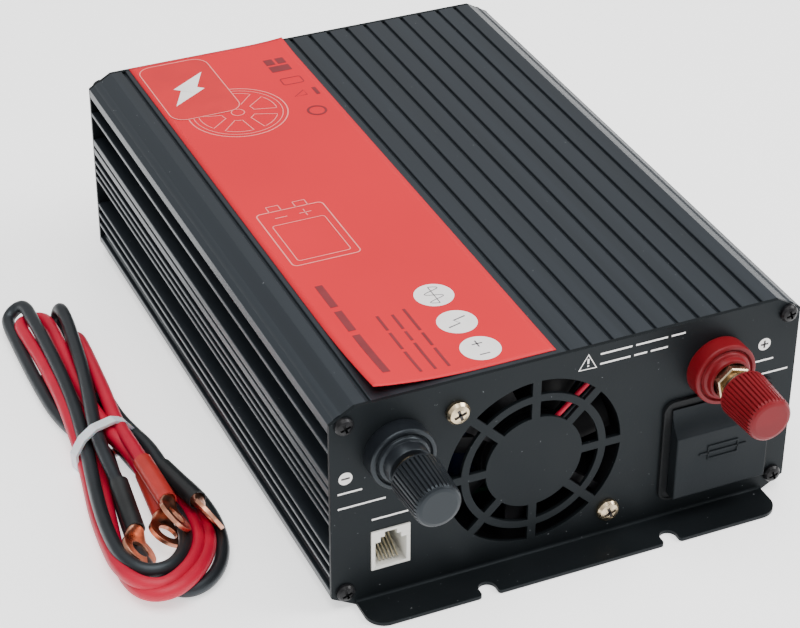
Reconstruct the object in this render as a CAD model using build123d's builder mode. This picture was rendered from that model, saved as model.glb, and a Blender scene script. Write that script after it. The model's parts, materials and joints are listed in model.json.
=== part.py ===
"""Power inverter for a 12 V battery, with its pair of battery leads.

Frame: X to the right and Y to the back, seen from the battery end; Z up.
The origin is the middle of the case's underside, in the plane it stands on.
All sizes are in millimetres.
"""
import os
from math import cos, pi, radians, sin, sqrt

from build123d import *

# ---------------------------------------------------------------- driving sizes
WIDTH = 150.0           # over the side fins
LENGTH = 214.0          # over the two end panels
HEIGHT = 70.0
CHAMFER_X = 7.8         # long-edge chamfers, across
CHAMFER_Z = 4.5         # and down
SHEET = 1.2             # end panels, steel sheet
SLIT = 0.1              # gap between parts that only rest beside each other

HALF_W = WIDTH / 2
HALF_L = LENGTH / 2
CASE_HALF_L = HALF_L - SHEET

# extruded case
FIN_DEPTH = 7.5
SIDE_WALL = 2.2
TOP_WALL = 3.0
FIN_TIP = 0.45          # rounding of the fins' tips
GROOVE_WIDTH = 1.2
GROOVE_DEPTH = 1.0
GROOVE_FIRST = -1.3
GROOVE_PITCH = 7.01
GROOVE_COUNT = 10
LABEL_GROOVE = -62.7
SIDE_CHANNELS = [(7.0, 11.4), (12.8, 15.4), (16.8, 19.4), (20.8, 30.3), (31.6, 33.4),
                 (34.7, 36.6), (38.0, 40.3), (46.3, 55.2), (56.7, 62.2)]
RIB_NOTCH_Z = 43.3      # fine notch along the broad rib
RAIL_INNER = 58.0       # bottom rails that hold the base plate
RAIL_HEIGHT = 5.0
PLATE_LOW = 1.5
PLATE = 2.0
PLATE_TOP = PLATE_LOW + PLATE
PLATE_SLOT_X = 62.3
PRESSING_X, PRESSING_Y = 44.0, 96.0  # pressed panel of the base plate, flush with the rails
SCREW_X = 70.8          # end panel screws
SCREW_Z = (6.0, 64.7)
SCREW_BOSS = 3.1
SCREW_PILOT = 1.25

# mounting flanges of the end panels
FLANGE_REACH = 12.3
FLANGE_HALF_W = 67.4
FLANGE_CORNER = 6.0
SLOT_X = 30.0
SLOT_WIDTH = 5.3
SLOT_DEPTH = 5.4
SLOT_LIP = 1.1
BEND_INSIDE = 0.9

# fan behind the grille
FAN_X, FAN_Z = -11.3, 34.65
FAN_SIDE = 60.0
FAN_DEPTH = 15.0
FAN_HOLES = 50.0
FAN_BORE = 28.8
GRILLE_HUB = 15.5
GRILLE_INNER = (15.5, 20.9)
GRILLE_OUTER = (23.3, 28.1)
GRILLE_SPOKE = 2.7
BLADES = 7
BLADE_TIP = 28.0
ROTOR_HUB = 14.4
FAN_SHAFT = 1.5

# battery terminals: distance is measured outward from the panel's face
NEG_X, POS_X, TERMINAL_Z = -54.8, 47.8, 52.0
BASE_R, BASE_T = 10.05, 5.6
STUD_R = 3.0
THREAD_DEPTH = 0.35
THREAD_PITCH = 1.0
NUT_FLATS = 10.0
NUT_TURN = 12.0
NUT_FROM, NUT_TO = 4.6, 10.3
KNOB_R, KNOB_CAP_R = 7.65, 6.95
KNOB_LENGTH = 15.7
KNOB_NECK = 2.0
KNOB_RIBS = 36
KNOB_CAP = {"neg": 29.0, "pos": 30.7}
TERMINALS = {"neg": NEG_X, "pos": POS_X}

# remote socket
JACK_X, JACK_Z = -56.6, 18.15
JACK_W, JACK_H, JACK_DEPTH = 12.1, 13.8, 16.0
JACK_CONTACTS = 6
JACK_PITCH = 1.1

# fuse box
FUSE_X = (33.5, 65.0)
FUSE_Z = (10.2, 40.6)
FUSE_FACE_TOP = 32.3
FUSE_PROUD = 5.0
BEZEL_MARGIN = 2.8
BEZEL = 0.6
BEZEL_RIM = 1.1
FUSE_BODY_DEPTH = 22.0
FUSE_WALL = 1.3
FUSE_LEVELS = (20.0, 31.5)

# rear panel fittings
OUTLET_X, OUTLET_Z = 28.0, 36.0
OUTLET_RECESS = 19.6
OUTLET_DEPTH = 17.5
SWITCH_X, SWITCH_Z = -30.0, 47.0
ROCKER_TILT = 10.0
USB_X, USB_Z = -30.0, 22.0
LED_X = (-50.0, -57.0)
LED_Z = 47.0

# inside
BOARD_Z = 10.0
BOARD = 1.6
BOARD_TOP = BOARD_Z + BOARD
BOARD_Y = (-85.0, 100.0)
BOARD_HALF_W = 64.5
STANDOFFS = [(-50, -78), (50, -78), (-50, 94), (50, 94)]
INNER_X = HALF_W - FIN_DEPTH - SIDE_WALL
INNER_TOP = HEIGHT - TOP_WALL

# label on the case
LABEL = (-60.6, -4.4, -104.3, 106.6)
LABEL_FILM = 0.25
LABEL_CURL_X, LABEL_CURL_Y = 32.0, 40.0
LABEL_CURL_ANGLE = 7.0

# battery leads, folded and tied, lying on the left
SLEEVE_D = 5.9
SLEEVE_FROM, SLEEVE_TO = 7.6, 29.0
TIE_WIDTH = 3.4
TIE_BAND = 1.0
TIE_TURN = 14.0
LUG_RING = 6.0
LUG_HOLE = 3.1
LUG_SHEET = 1.3
BARREL_R = 2.45
BARREL_TO = 15.5


# ---------------------------------------------------------------- helpers
def face_plane(facing, outward=0.0):
    """Plane of an end panel's outer face; facing is -1 at the front and +1 at the back."""
    return Plane(origin=(0, facing * (HALF_L + outward), 0), x_dir=(-facing, 0, 0), z_dir=(0, facing, 0))


def front(outward=0.0):
    return face_plane(-1, outward)


def rear(outward=0.0):
    return face_plane(1, outward)


def turned(outline, x, z, facing=-1):
    """Revolve an outline of (distance outward, radius) points about a line along Y."""
    plane = Plane(origin=(x, facing * HALF_L, z), x_dir=(0, facing, 0), z_dir=(1, 0, 0))
    with BuildSketch(plane) as profile:
        Polygon(*outline, align=None)
    revolve(profile.sketch, axis=Axis((x, facing * HALF_L, z), (0, facing, 0)))


def block(x_range, y_range, z_range, mode=Mode.ADD):
    """A square-edged block between three pairs of limits."""
    (x0, x1), (y0, y1), (z0, z1) = x_range, y_range, z_range
    with BuildSketch(Plane.XY.offset(z0)) as base:
        with Locations(((x0 + x1) / 2, (y0 + y1) / 2)):
            Rectangle(x1 - x0, y1 - y0)
    extrude(base.sketch, amount=z1 - z0, mode=mode)


def panel_outline():
    """The eight-sided section of the case, in a panel's plane."""
    flat = HALF_W - CHAMFER_X
    Polygon((flat, 0), (HALF_W, CHAMFER_Z), (HALF_W, HEIGHT - CHAMFER_Z), (flat, HEIGHT),
            (-flat, HEIGHT), (-HALF_W, HEIGHT - CHAMFER_Z), (-HALF_W, CHAMFER_Z), (-flat, 0), align=None)


def pan_screw(x, z, facing, head_r, head_h, shank_r, reach):
    """A cross-recessed pan-head screw whose head bears on a panel's face."""
    turned([(-reach, 0), (-reach, shank_r * 0.6), (-reach + shank_r, shank_r), (0, shank_r), (0, head_r),
            (head_h * 0.45, head_r), (head_h * 0.8, head_r * 0.8), (head_h, head_r * 0.45), (head_h, 0)],
           x, z, facing)
    with BuildSketch(face_plane(facing, head_h)) as recess:
        with Locations((-facing * x, z)):
            Rectangle(head_r * 1.1, head_r * 0.26, rotation=20)
            Rectangle(head_r * 0.26, head_r * 1.1, rotation=20)
    extrude(recess.sketch, amount=-head_h * 0.62, mode=Mode.SUBTRACT)


def save(piece, name):
    piece.part.label = name
    export_step(piece.part, f"parts/{name}.step")


os.makedirs("parts", exist_ok=True)

# ---------------------------------------------------------------- extruded case
with BuildPart() as case_shell:
    with BuildSketch(Plane.XZ.offset(-CASE_HALF_L)) as section:
        panel_outline()
        cavity_top = INNER_TOP - 5
        Polygon((-INNER_X, RAIL_HEIGHT), (INNER_X, RAIL_HEIGHT), (INNER_X, cavity_top),
                (INNER_X - 4.5, INNER_TOP), (4.5 - INNER_X, INNER_TOP), (-INNER_X, cavity_top),
                align=None, mode=Mode.SUBTRACT)
        with Locations((0, RAIL_HEIGHT / 2)):
            Rectangle(2 * RAIL_INNER, RAIL_HEIGHT, mode=Mode.SUBTRACT)
        with Locations((0, PLATE_LOW + PLATE / 2)):
            Rectangle(2 * PLATE_SLOT_X, PLATE + 2 * SLIT, mode=Mode.SUBTRACT)
        for low, high in SIDE_CHANNELS:
            with Locations(*[(side * (HALF_W - FIN_DEPTH / 2), (low + high) / 2) for side in (-1, 1)]):
                Rectangle(FIN_DEPTH, high - low, mode=Mode.SUBTRACT)
        with Locations(*[(side * HALF_W, RIB_NOTCH_Z) for side in (-1, 1)]):
            Rectangle(1.2, 0.8, mode=Mode.SUBTRACT)
        fin_tips = [v for v in section.vertices() if abs(abs(v.X) - HALF_W) < 0.01]
        fillet(fin_tips, FIN_TIP - 0.1)
        groove_places = [GROOVE_FIRST + i * GROOVE_PITCH for i in range(GROOVE_COUNT)] + [LABEL_GROOVE]
        with Locations(*[(x, HEIGHT) for x in groove_places]):
            Rectangle(GROOVE_WIDTH, 2 * GROOVE_DEPTH, mode=Mode.SUBTRACT)
        top_edges = [v for v in section.vertices() if abs(v.Y - HEIGHT) < 0.01]
        fillet(top_edges, 0.3)
        with Locations(*[(side * SCREW_X, z) for side in (-1, 1) for z in SCREW_Z]):
            Circle(SCREW_BOSS)
            Circle(SCREW_PILOT, mode=Mode.SUBTRACT)
    extrude(amount=2 * CASE_HALF_L)
save(case_shell, "case_shell")

with BuildPart() as bottom_plate:
    block((-62, 62), (-CASE_HALF_L, CASE_HALF_L), (PLATE_LOW, PLATE_TOP))
    block((-PRESSING_X, PRESSING_X), (-PRESSING_Y, PRESSING_Y), (0, PLATE_LOW))
    block((PLATE - PRESSING_X, PRESSING_X - PLATE), (PLATE - PRESSING_Y, PRESSING_Y - PLATE),
          (PLATE, PLATE_TOP), Mode.SUBTRACT)
save(bottom_plate, "bottom_plate")


# ---------------------------------------------------------------- end panels
def panel_blank(facing):
    """Sheet end panel with its mounting flange folded outward at the bottom."""
    with BuildSketch(face_plane(facing, -SHEET)) as sheet:
        panel_outline()
        with Locations(*[(side * SCREW_X, z) for side in (-1, 1) for z in SCREW_Z]):
            Circle(1.6, mode=Mode.SUBTRACT)
    extrude(sheet.sketch, amount=SHEET)
    edge_y = facing * (HALF_L + FLANGE_REACH)
    root_y = facing * CASE_HALF_L
    with BuildSketch(Plane.XY) as flange:
        with Locations((0, (edge_y + root_y) / 2)):
            Rectangle(2 * FLANGE_HALF_W, FLANGE_REACH + SHEET)
        corners = [v for v in flange.vertices() if abs(v.Y - edge_y) < 0.01]
        fillet(corners, FLANGE_CORNER)
        with Locations(*[(side * SLOT_X, edge_y) for side in (-1, 1)]):
            SlotCenterToCenter(2 * SLOT_DEPTH - SLOT_WIDTH, SLOT_WIDTH, rotation=90, mode=Mode.SUBTRACT)
        lips = [v for v in flange.vertices()
                if abs(v.Y - edge_y) < 0.01 and abs(abs(v.X) - SLOT_X) < SLOT_WIDTH]
        fillet(lips, SLOT_LIP)
    extrude(flange.sketch, amount=SHEET)
    fillet(edges_along_x(facing * HALF_L, SHEET), BEND_INSIDE)
    fillet(edges_along_x(root_y, 0), BEND_INSIDE + 0.2)


def edges_along_x(y, z):
    """Long edges of the part being built that run along X at the given place."""
    edges = BuildPart._get_context().part.edges().filter_by(Axis.X)
    return [e for e in edges if abs(e.center().Y - y) < 0.01 and abs(e.center().Z - z) < 0.01]


with BuildPart() as front_panel:
    panel_blank(-1)
    with BuildSketch(front()):
        with Locations((FAN_X, FAN_Z)):
            Circle(GRILLE_OUTER[1])
            Circle(GRILLE_OUTER[0], mode=Mode.SUBTRACT)
            Circle(GRILLE_INNER[1])
            Circle(GRILLE_INNER[0], mode=Mode.SUBTRACT)
            for turn in (0, 45, 90, 135):
                Rectangle(2 * GRILLE_OUTER[1] + 2, GRILLE_SPOKE, rotation=turn, mode=Mode.SUBTRACT)
        half = FAN_HOLES / 2
        with Locations((FAN_X - half, FAN_Z + half), (FAN_X + half, FAN_Z - half)):
            Circle(2.2)
        with Locations((NEG_X, TERMINAL_Z), (POS_X, TERMINAL_Z)):
            Circle(4.6)
        with Locations((JACK_X, JACK_Z)):
            Rectangle(JACK_W + 2 * SLIT, JACK_H + 2 * SLIT)
        with Locations(((FUSE_X[0] + FUSE_X[1]) / 2, 26.5)):
            Rectangle(FUSE_X[1] - FUSE_X[0] + 0.6, 29.0)
    extrude(amount=-SHEET, mode=Mode.SUBTRACT)
save(front_panel, "front_panel")

VENT_PITCH = 5.0
with BuildPart() as rear_panel:
    panel_blank(1)
    with BuildSketch(rear()):
        with Locations((-OUTLET_X, OUTLET_Z)):
            Circle(22.6)
        with Locations((-SWITCH_X, SWITCH_Z)):
            Rectangle(19.4, 13.2)
        with Locations((-USB_X, USB_Z)):
            Rectangle(13.4, 6.0)
        with Locations(*[(-x, LED_Z) for x in LED_X]):
            Circle(1.6)
        for row in range(5):
            with Locations((-LED_X[0] + 2.5, 14 + row * VENT_PITCH)):
                SlotOverall(16, 2.4)
            with Locations((-OUTLET_X - 33, 24 + row * VENT_PITCH)):
                SlotOverall(8, 2.4)
    extrude(amount=-SHEET, mode=Mode.SUBTRACT)
save(rear_panel, "rear_panel")

for facing, name in ((-1, "front_panel_screws"), (1, "rear_panel_screws")):
    with BuildPart() as screws:
        for side in (-1, 1):
            for z in SCREW_Z:
                pan_screw(side * SCREW_X, z, facing, 2.8, 2.0, SCREW_PILOT - 0.05, 10)
    save(screws, name)

# ---------------------------------------------------------------- fan
FAN_FRONT = -CASE_HALF_L
FAN_BACK = FAN_FRONT + FAN_DEPTH
FAN_AXIS = Axis((FAN_X, 0, FAN_Z), (0, 1, 0))
FAN_PLATE = Plane(origin=(FAN_X, FAN_FRONT, FAN_Z), x_dir=(-1, 0, 0), z_dir=(0, 1, 0))
FAN_LIP = 3.0
HUB_BACK = 1.7          # struts stand back from the frame's face by this
HUB_PLATE = 1.8
STRUT_ANGLE = 52.0
WIRE_D = 1.5
WIRE_NOTCH = (16.6, 21.8)

with BuildPart() as fan_frame:
    for lip_at in (0, FAN_DEPTH - FAN_LIP):
        with BuildSketch(FAN_PLATE.offset(lip_at)):
            RectangleRounded(FAN_SIDE, FAN_SIDE, 3.5)
            Circle(FAN_BORE, mode=Mode.SUBTRACT)
            with GridLocations(FAN_HOLES, FAN_HOLES, 2, 2):
                Circle(2.2, mode=Mode.SUBTRACT)
        extrude(amount=FAN_LIP)
    with BuildSketch(FAN_PLATE):
        Circle(FAN_SIDE / 2)
        Circle(FAN_BORE, mode=Mode.SUBTRACT)
    extrude(amount=FAN_DEPTH)
    with BuildSketch(FAN_PLATE.offset(HUB_BACK)):
        with PolarLocations((FAN_BORE + ROTOR_HUB) / 2, 4, start_angle=180 - STRUT_ANGLE):
            Rectangle(FAN_BORE - ROTOR_HUB + 2, 2.4)
        Circle(ROTOR_HUB)
    extrude(amount=HUB_PLATE)
    with BuildSketch(FAN_PLATE.offset(HUB_BACK + HUB_PLATE)):
        Circle(4.0)
    extrude(amount=6.5)
    with BuildSketch(FAN_PLATE.offset(HUB_BACK + 0.8)):
        Circle(FAN_SHAFT + 0.05)
    extrude(amount=8, mode=Mode.SUBTRACT)
    block((FAN_X + WIRE_NOTCH[0], FAN_X + WIRE_NOTCH[1]), (FAN_FRONT - 1, FAN_FRONT + FAN_LIP + 0.1),
          (FAN_Z + 20.5, FAN_Z + 31), mode=Mode.SUBTRACT)
save(fan_frame, "fan_frame")

ROTOR_FROM = HUB_BACK + HUB_PLATE + 0.8
ROTOR_DEPTH = FAN_DEPTH - ROTOR_FROM - 0.8
BLADE_CHORD = 13.0
BLADE_PITCH = 38.0
with BuildPart() as fan_rotor:
    with BuildSketch(FAN_PLATE.offset(ROTOR_FROM)):
        Circle(ROTOR_HUB)
    extrude(amount=ROTOR_DEPTH)
    with BuildSketch(FAN_PLATE.offset(ROTOR_FROM)):
        Circle(ROTOR_HUB - 1.4)
    extrude(amount=ROTOR_DEPTH - 1.6, mode=Mode.SUBTRACT)
    with BuildSketch(FAN_PLATE.offset(ROTOR_FROM)):
        Circle(FAN_SHAFT)
    extrude(amount=ROTOR_DEPTH - 1)
    blade_planes = []
    for k in range(BLADES):
        around = radians(360 / BLADES * k + 12)
        radial = Vector(cos(around), 0, sin(around))
        tangent = Vector(-sin(around), 0, cos(around))
        root = Vector(FAN_X, FAN_FRONT + ROTOR_FROM + ROTOR_DEPTH / 2, FAN_Z) + radial * (ROTOR_HUB - 1.0)
        chord = tangent * cos(radians(BLADE_PITCH)) + Vector(0, 1, 0) * sin(radians(BLADE_PITCH))
        blade_planes.append(Plane(origin=root, x_dir=chord, z_dir=radial))
    with BuildSketch(*blade_planes):
        with BuildLine():
            outer = ThreePointArc((-BLADE_CHORD / 2, 0), (0, 1.9), (BLADE_CHORD / 2, 0))
            inner = ThreePointArc((-BLADE_CHORD / 2 + 0.4, -0.7), (0, 0.8), (BLADE_CHORD / 2 - 0.4, -0.7))
            Line(outer @ 0, inner @ 0)
            Line(outer @ 1, inner @ 1)
        make_face()
    extrude(amount=BLADE_TIP - ROTOR_HUB + 3)
    with BuildSketch(FAN_PLATE):
        Circle(40)
        Circle(BLADE_TIP, mode=Mode.SUBTRACT)
    extrude(amount=FAN_DEPTH, mode=Mode.SUBTRACT)
save(fan_rotor, "fan_rotor")

with BuildPart() as fan_screws:
    for sx, sz in ((-1, 1), (1, -1)):
        pan_screw(FAN_X + sx * FAN_HOLES / 2, FAN_Z + sz * FAN_HOLES / 2, -1, 3.6, 2.5, 2.0, 20)
save(fan_screws, "fan_screws")

with BuildPart() as fan_nuts:
    with BuildSketch(Plane.XZ.offset(-FAN_BACK - SLIT)):
        with Locations((FAN_X - FAN_HOLES / 2, FAN_Z + FAN_HOLES / 2),
                       (FAN_X + FAN_HOLES / 2, FAN_Z - FAN_HOLES / 2)):
            RegularPolygon(7.0 / 2, 6, major_radius=False)
            Circle(2.05, mode=Mode.SUBTRACT)
    extrude(amount=-3.0)
save(fan_nuts, "fan_nuts")

# fan supply wires: out over one strut, over the top of the frame and down to the board
WIRE_SHIFT = {"fan_wire_red": (0, 0), "fan_wire_black": (1.9, -1.6)}


def wire(points, radii, diameter):
    """A round wire along straight runs joined by arcs."""
    with BuildLine() as run:
        FilletPolyline(*points, radius=radii)
    with BuildSketch(Plane(origin=run.line @ 0, z_dir=run.line % 0)) as section:
        Circle(diameter / 2)
    sweep(section.sketch, path=run.line)


for name, (across, down) in WIRE_SHIFT.items():
    x = FAN_X + 17.9 + across
    with BuildPart() as fan_wire:
        wire([(FAN_X + 7.0 + across, -105.0, FAN_Z + 12.0 + down), (x, -105.0, FAN_Z + 22.1 + down),
              (x, -104.4, FAN_Z + 31.3), (x, -78.0, FAN_Z + 31.2), (x, -50.0, FAN_Z + 16.0),
              (x, -50.0, BOARD_TOP + 0.02)], [2.0, 1.0, 8.0, 8.0], WIRE_D)
    save(fan_wire, name)

# ---------------------------------------------------------------- battery terminals
for pole, x in TERMINALS.items():
    with BuildPart() as terminal_base:
        turned([(0, STUD_R + 0.1), (-SHEET, STUD_R + 0.1), (-SHEET, 4.5), (0, 4.5), (0, BASE_R),
                (BASE_T - 0.6, BASE_R), (BASE_T - 0.15, BASE_R - 0.2), (BASE_T, BASE_R - 0.6),
                (BASE_T, BASE_R - 1.3), (BASE_T - 0.7, BASE_R - 1.8), (BASE_T - 0.1, BASE_R - 2.2),
                (BASE_T, 7.5), (BASE_T, 6.5), (BASE_T - 0.3, 6.2), (3.4, 6.1), (3.4, STUD_R + 0.1)],
               x, TERMINAL_Z)
    save(terminal_base, f"{pole}_terminal_base")

    cap = KNOB_CAP[pole]
    rim = cap - KNOB_LENGTH
    with BuildPart() as clamp_washer:
        turned([(rim - KNOB_NECK - 0.9, STUD_R + 0.1), (rim - KNOB_NECK - 0.9, 5.0),
                (rim - KNOB_NECK - 0.1, 5.0), (rim - KNOB_NECK - 0.1, STUD_R + 0.1)], x, TERMINAL_Z)
    save(clamp_washer, f"{pole}_clamp_washer")

    with BuildPart() as knob:
        turned([(rim - KNOB_NECK, 4.4), (rim - KNOB_NECK, 5.1), (rim - 0.2, 5.2), (rim, 6.4),
                (rim, KNOB_R - 0.4), (rim + 0.4, KNOB_R), (rim + 1.2, KNOB_R), (cap - 1.5, KNOB_CAP_R + 0.1),
                (cap - 0.8, KNOB_CAP_R - 0.2), (cap - 0.25, KNOB_CAP_R - 0.8), (cap, KNOB_CAP_R - 1.7),
                (cap, 0), (cap - 3.5, 0), (cap - 3.5, 4.4)], x, TERMINAL_Z)
        lean = (KNOB_R - KNOB_CAP_R - 0.1) / (KNOB_LENGTH - 2.7)
        groove_planes = []
        for k in range(KNOB_RIBS):
            around = 2 * pi * k / KNOB_RIBS
            radial = Vector(cos(around), 0, sin(around))
            along = (Vector(0, -1, 0) - radial * lean).normalized()
            seat = Vector(x, -HALF_L - rim - 1.0, TERMINAL_Z) + radial * (KNOB_R + 0.1)
            groove_planes.append(Plane(origin=seat, x_dir=radial, z_dir=along))
        with BuildSketch(*groove_planes):
            Polygon((0.1, 0.42), (0.1, -0.42), (-0.62, 0), align=None)
        extrude(amount=KNOB_LENGTH + 1.5, mode=Mode.SUBTRACT)
    save(knob, f"{pole}_knob")

    with BuildPart() as knob_insert:
        turned([(rim - KNOB_NECK, STUD_R + 0.05), (rim - KNOB_NECK, 4.35), (cap - 4.0, 4.35),
                (cap - 4.0, STUD_R + 0.05)], x, TERMINAL_Z)
    save(knob_insert, f"{pole}_knob_insert")

STUD_FROM, STUD_TO = -17.0, 24.0
with BuildPart() as terminal_studs:
    for x in TERMINALS.values():
        thread = []
        for k in range(int((STUD_TO - 1 - BASE_T) / THREAD_PITCH)):
            at = BASE_T + k * THREAD_PITCH
            thread += [(at, STUD_R), (at + THREAD_PITCH * 0.5, STUD_R - THREAD_DEPTH)]
        turned([(STUD_FROM, 0), (STUD_FROM, STUD_R - 0.5), (STUD_FROM + 0.5, STUD_R)] + thread
               + [(STUD_TO - 0.6, STUD_R), (STUD_TO, STUD_R - 0.6), (STUD_TO, 0)], x, TERMINAL_Z)
save(terminal_studs, "terminal_studs")

with BuildPart() as terminal_washers:
    for x in TERMINALS.values():
        turned([(3.4, STUD_R), (3.4, 5.9), (NUT_FROM, 5.9), (NUT_FROM, STUD_R)], x, TERMINAL_Z)
save(terminal_washers, "terminal_washers")

with BuildPart() as terminal_nuts:
    for x in TERMINALS.values():
        with BuildSketch(front(NUT_FROM)):
            with Locations((x, TERMINAL_Z)):
                RegularPolygon(NUT_FLATS / 2, 6, major_radius=False, rotation=NUT_TURN + 30)
                Circle(STUD_R, mode=Mode.SUBTRACT)
        extrude(amount=NUT_TO - NUT_FROM)
    rims = terminal_nuts.part.faces().sort_by(Axis.Y)[0:2]
    nut_corners = [e for face in rims for e in face.outer_wire().edges()]
    chamfer(nut_corners, 0.35)
save(terminal_nuts, "terminal_nuts")

BUSH = 3.0
with BuildPart() as terminal_bushes:
    for x in TERMINALS.values():
        turned([(-SHEET, STUD_R + 0.1), (-SHEET, 7.0), (-SHEET - BUSH, 7.0), (-SHEET - BUSH, STUD_R + 0.1)],
               x, TERMINAL_Z)
save(terminal_bushes, "terminal_bushes")

BAR = 1.5
BAR_AT = HALF_L - SHEET - BUSH
with BuildPart() as terminal_rear_nuts:
    with BuildSketch(Plane.XZ.offset(BAR_AT - BAR)):
        with Locations((NEG_X, TERMINAL_Z), (POS_X, TERMINAL_Z)):
            RegularPolygon(NUT_FLATS / 2, 6, major_radius=False)
            Circle(STUD_R, mode=Mode.SUBTRACT)
    extrude(amount=-5.0)
save(terminal_rear_nuts, "terminal_rear_nuts")

# copper bars from the studs to the board and to the fuse box
BAR_LEVEL = 44.2
with BuildPart() as neg_busbar:
    block((NEG_X - 7, NEG_X + 7), (-BAR_AT, -BAR_AT + BAR), (BAR_LEVEL, TERMINAL_Z + 7))
    with BuildSketch(Plane.XZ.offset(BAR_AT)):
        with Locations((NEG_X, TERMINAL_Z)):
            Circle(STUD_R + 0.15)
    extrude(amount=-BAR, mode=Mode.SUBTRACT)
    block((NEG_X - 7, NEG_X + 7), (-BAR_AT, -72), (BAR_LEVEL, BAR_LEVEL + BAR))
    block((NEG_X - 7, NEG_X + 7), (-72 - BAR, -72), (BOARD_TOP, BAR_LEVEL + BAR))
save(neg_busbar, "neg_busbar")

with BuildPart() as pos_busbar:
    block((POS_X - 7, POS_X + 7), (-BAR_AT, -BAR_AT + BAR), (41.0, TERMINAL_Z + 7))
    with BuildSketch(Plane.XZ.offset(BAR_AT)):
        with Locations((POS_X, TERMINAL_Z)):
            Circle(STUD_R + 0.15)
    extrude(amount=-BAR, mode=Mode.SUBTRACT)
    block((POS_X - 7, POS_X + 7), (-BAR_AT, -90), (41.0, 41.0 + BAR))
save(pos_busbar, "pos_busbar")

# ---------------------------------------------------------------- remote socket
JACK_FACE = 0.4
JACK_CAVITY = 12.0
MOUTH_HALF = 4.85
with BuildPart() as remote_jack:
    with BuildSketch(front(JACK_FACE)):
        with Locations((JACK_X, JACK_Z)):
            Rectangle(JACK_W, JACK_H)
    extrude(amount=-JACK_DEPTH)
    with BuildSketch(front(JACK_FACE)):
        low, shelf, step, latch = 12.3, 20.9, 22.6, 24.2
        Polygon((JACK_X - MOUTH_HALF, low), (JACK_X + MOUTH_HALF, low), (JACK_X + MOUTH_HALF, shelf),
                (JACK_X + 3.2, shelf), (JACK_X + 3.2, step), (JACK_X + 1.9, step), (JACK_X + 1.9, latch),
                (JACK_X - 1.9, latch), (JACK_X - 1.9, step), (JACK_X - 3.2, step), (JACK_X - 3.2, shelf),
                (JACK_X - MOUTH_HALF, shelf), align=None)
    extrude(amount=-JACK_CAVITY, mode=Mode.SUBTRACT)
    for k in range(JACK_CONTACTS + 1):
        comb = JACK_X + (k - JACK_CONTACTS / 2) * JACK_PITCH
        with BuildSketch(Plane.YZ.offset(comb - 0.15)):
            Polygon((-HALF_L + 1.0, low), (-HALF_L + 11.0, low), (-HALF_L + 11.0, low + 4.0), align=None)
        extrude(amount=0.3)
save(remote_jack, "remote_jack")

with BuildPart() as remote_jack_contacts:
    foot = Vector(0, -HALF_L + 1.2, low + 0.75)
    tip = Vector(0, -HALF_L + 9.6, low + 5.0)
    for k in range(JACK_CONTACTS):
        across = Vector(JACK_X + (k + 0.5 - JACK_CONTACTS / 2) * JACK_PITCH, 0, 0)
        with BuildSketch(Plane(origin=foot + across, x_dir=(1, 0, 0), z_dir=tip - foot)):
            Circle(0.25)
        extrude(amount=(tip - foot).length)
save(remote_jack_contacts, "remote_jack_contacts")

# ---------------------------------------------------------------- fuse box
FUSE_MID_X = (FUSE_X[0] + FUSE_X[1]) / 2
BEZEL_W = FUSE_X[1] - FUSE_X[0] + 2 * BEZEL_MARGIN
BEZEL_H = FUSE_Z[1] - FUSE_Z[0] + 2 * BEZEL_MARGIN
BEZEL_MID_Z = (FUSE_Z[0] + FUSE_Z[1]) / 2
MOUTH_X = (FUSE_X[0] + FUSE_WALL, FUSE_X[1] - FUSE_WALL)
MOUTH_Z = (13.4, 39.4)
FUSE_REAR_WALL = 4.0
BLADE_SLOT_X = (-6.0, 6.0)

with BuildPart() as fuse_holder:
    with BuildSketch(front()):
        with Locations((FUSE_MID_X, BEZEL_MID_Z)):
            RectangleRounded(BEZEL_W, BEZEL_H, 3.6)
    extrude(amount=BEZEL)
    with BuildSketch(front(BEZEL)):
        with Locations((FUSE_MID_X, BEZEL_MID_Z)):
            RectangleRounded(BEZEL_W, BEZEL_H, 3.6)
            RectangleRounded(BEZEL_W - 1.3, BEZEL_H - 1.3, 3.0, mode=Mode.SUBTRACT)
    extrude(amount=BEZEL_RIM - BEZEL)
    block((FUSE_X[0] - 0.2, FUSE_X[1] + 0.2), (-HALF_L, -HALF_L + FUSE_BODY_DEPTH),
          (MOUTH_Z[0] - FUSE_WALL, MOUTH_Z[1] + FUSE_WALL))
    block(MOUTH_X, (-HALF_L - 2, -HALF_L + FUSE_BODY_DEPTH - FUSE_REAR_WALL), MOUTH_Z, mode=Mode.SUBTRACT)
    with BuildSketch(Plane.XZ.offset(HALF_L - FUSE_BODY_DEPTH)):
        with Locations(*[(FUSE_MID_X + dx, z) for dx in BLADE_SLOT_X for z in FUSE_LEVELS]):
            Rectangle(5.4, 1.0)
    extrude(amount=FUSE_REAR_WALL + 1, mode=Mode.SUBTRACT)
    with BuildSketch(front(-0.01)):
        with Locations((POS_X, TERMINAL_Z)):
            Circle(BASE_R + 0.3)
    extrude(amount=BEZEL_RIM + 1, mode=Mode.SUBTRACT)
save(fuse_holder, "fuse_holder")

FUSE_W, FUSE_T, FUSE_BODY_H, BLADE_H = 19.0, 5.0, 11.0, 7.0
with BuildPart() as blade_fuses:
    seat_y = -HALF_L + FUSE_BODY_DEPTH - FUSE_REAR_WALL - SLIT
    for z in FUSE_LEVELS:
        block((FUSE_MID_X - FUSE_W / 2, FUSE_MID_X + FUSE_W / 2), (seat_y - FUSE_BODY_H, seat_y - 2),
              (z - FUSE_T / 2, z + FUSE_T / 2))
        block((FUSE_MID_X - 8, FUSE_MID_X + 8), (seat_y - 2, seat_y), (z - 1.8, z + 1.8))
        for dx in BLADE_SLOT_X:
            block((FUSE_MID_X + dx - 2.5, FUSE_MID_X + dx + 2.5), (seat_y, seat_y + 3.8), (z - 0.4, z + 0.4))
save(blade_fuses, "blade_fuses")


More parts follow.
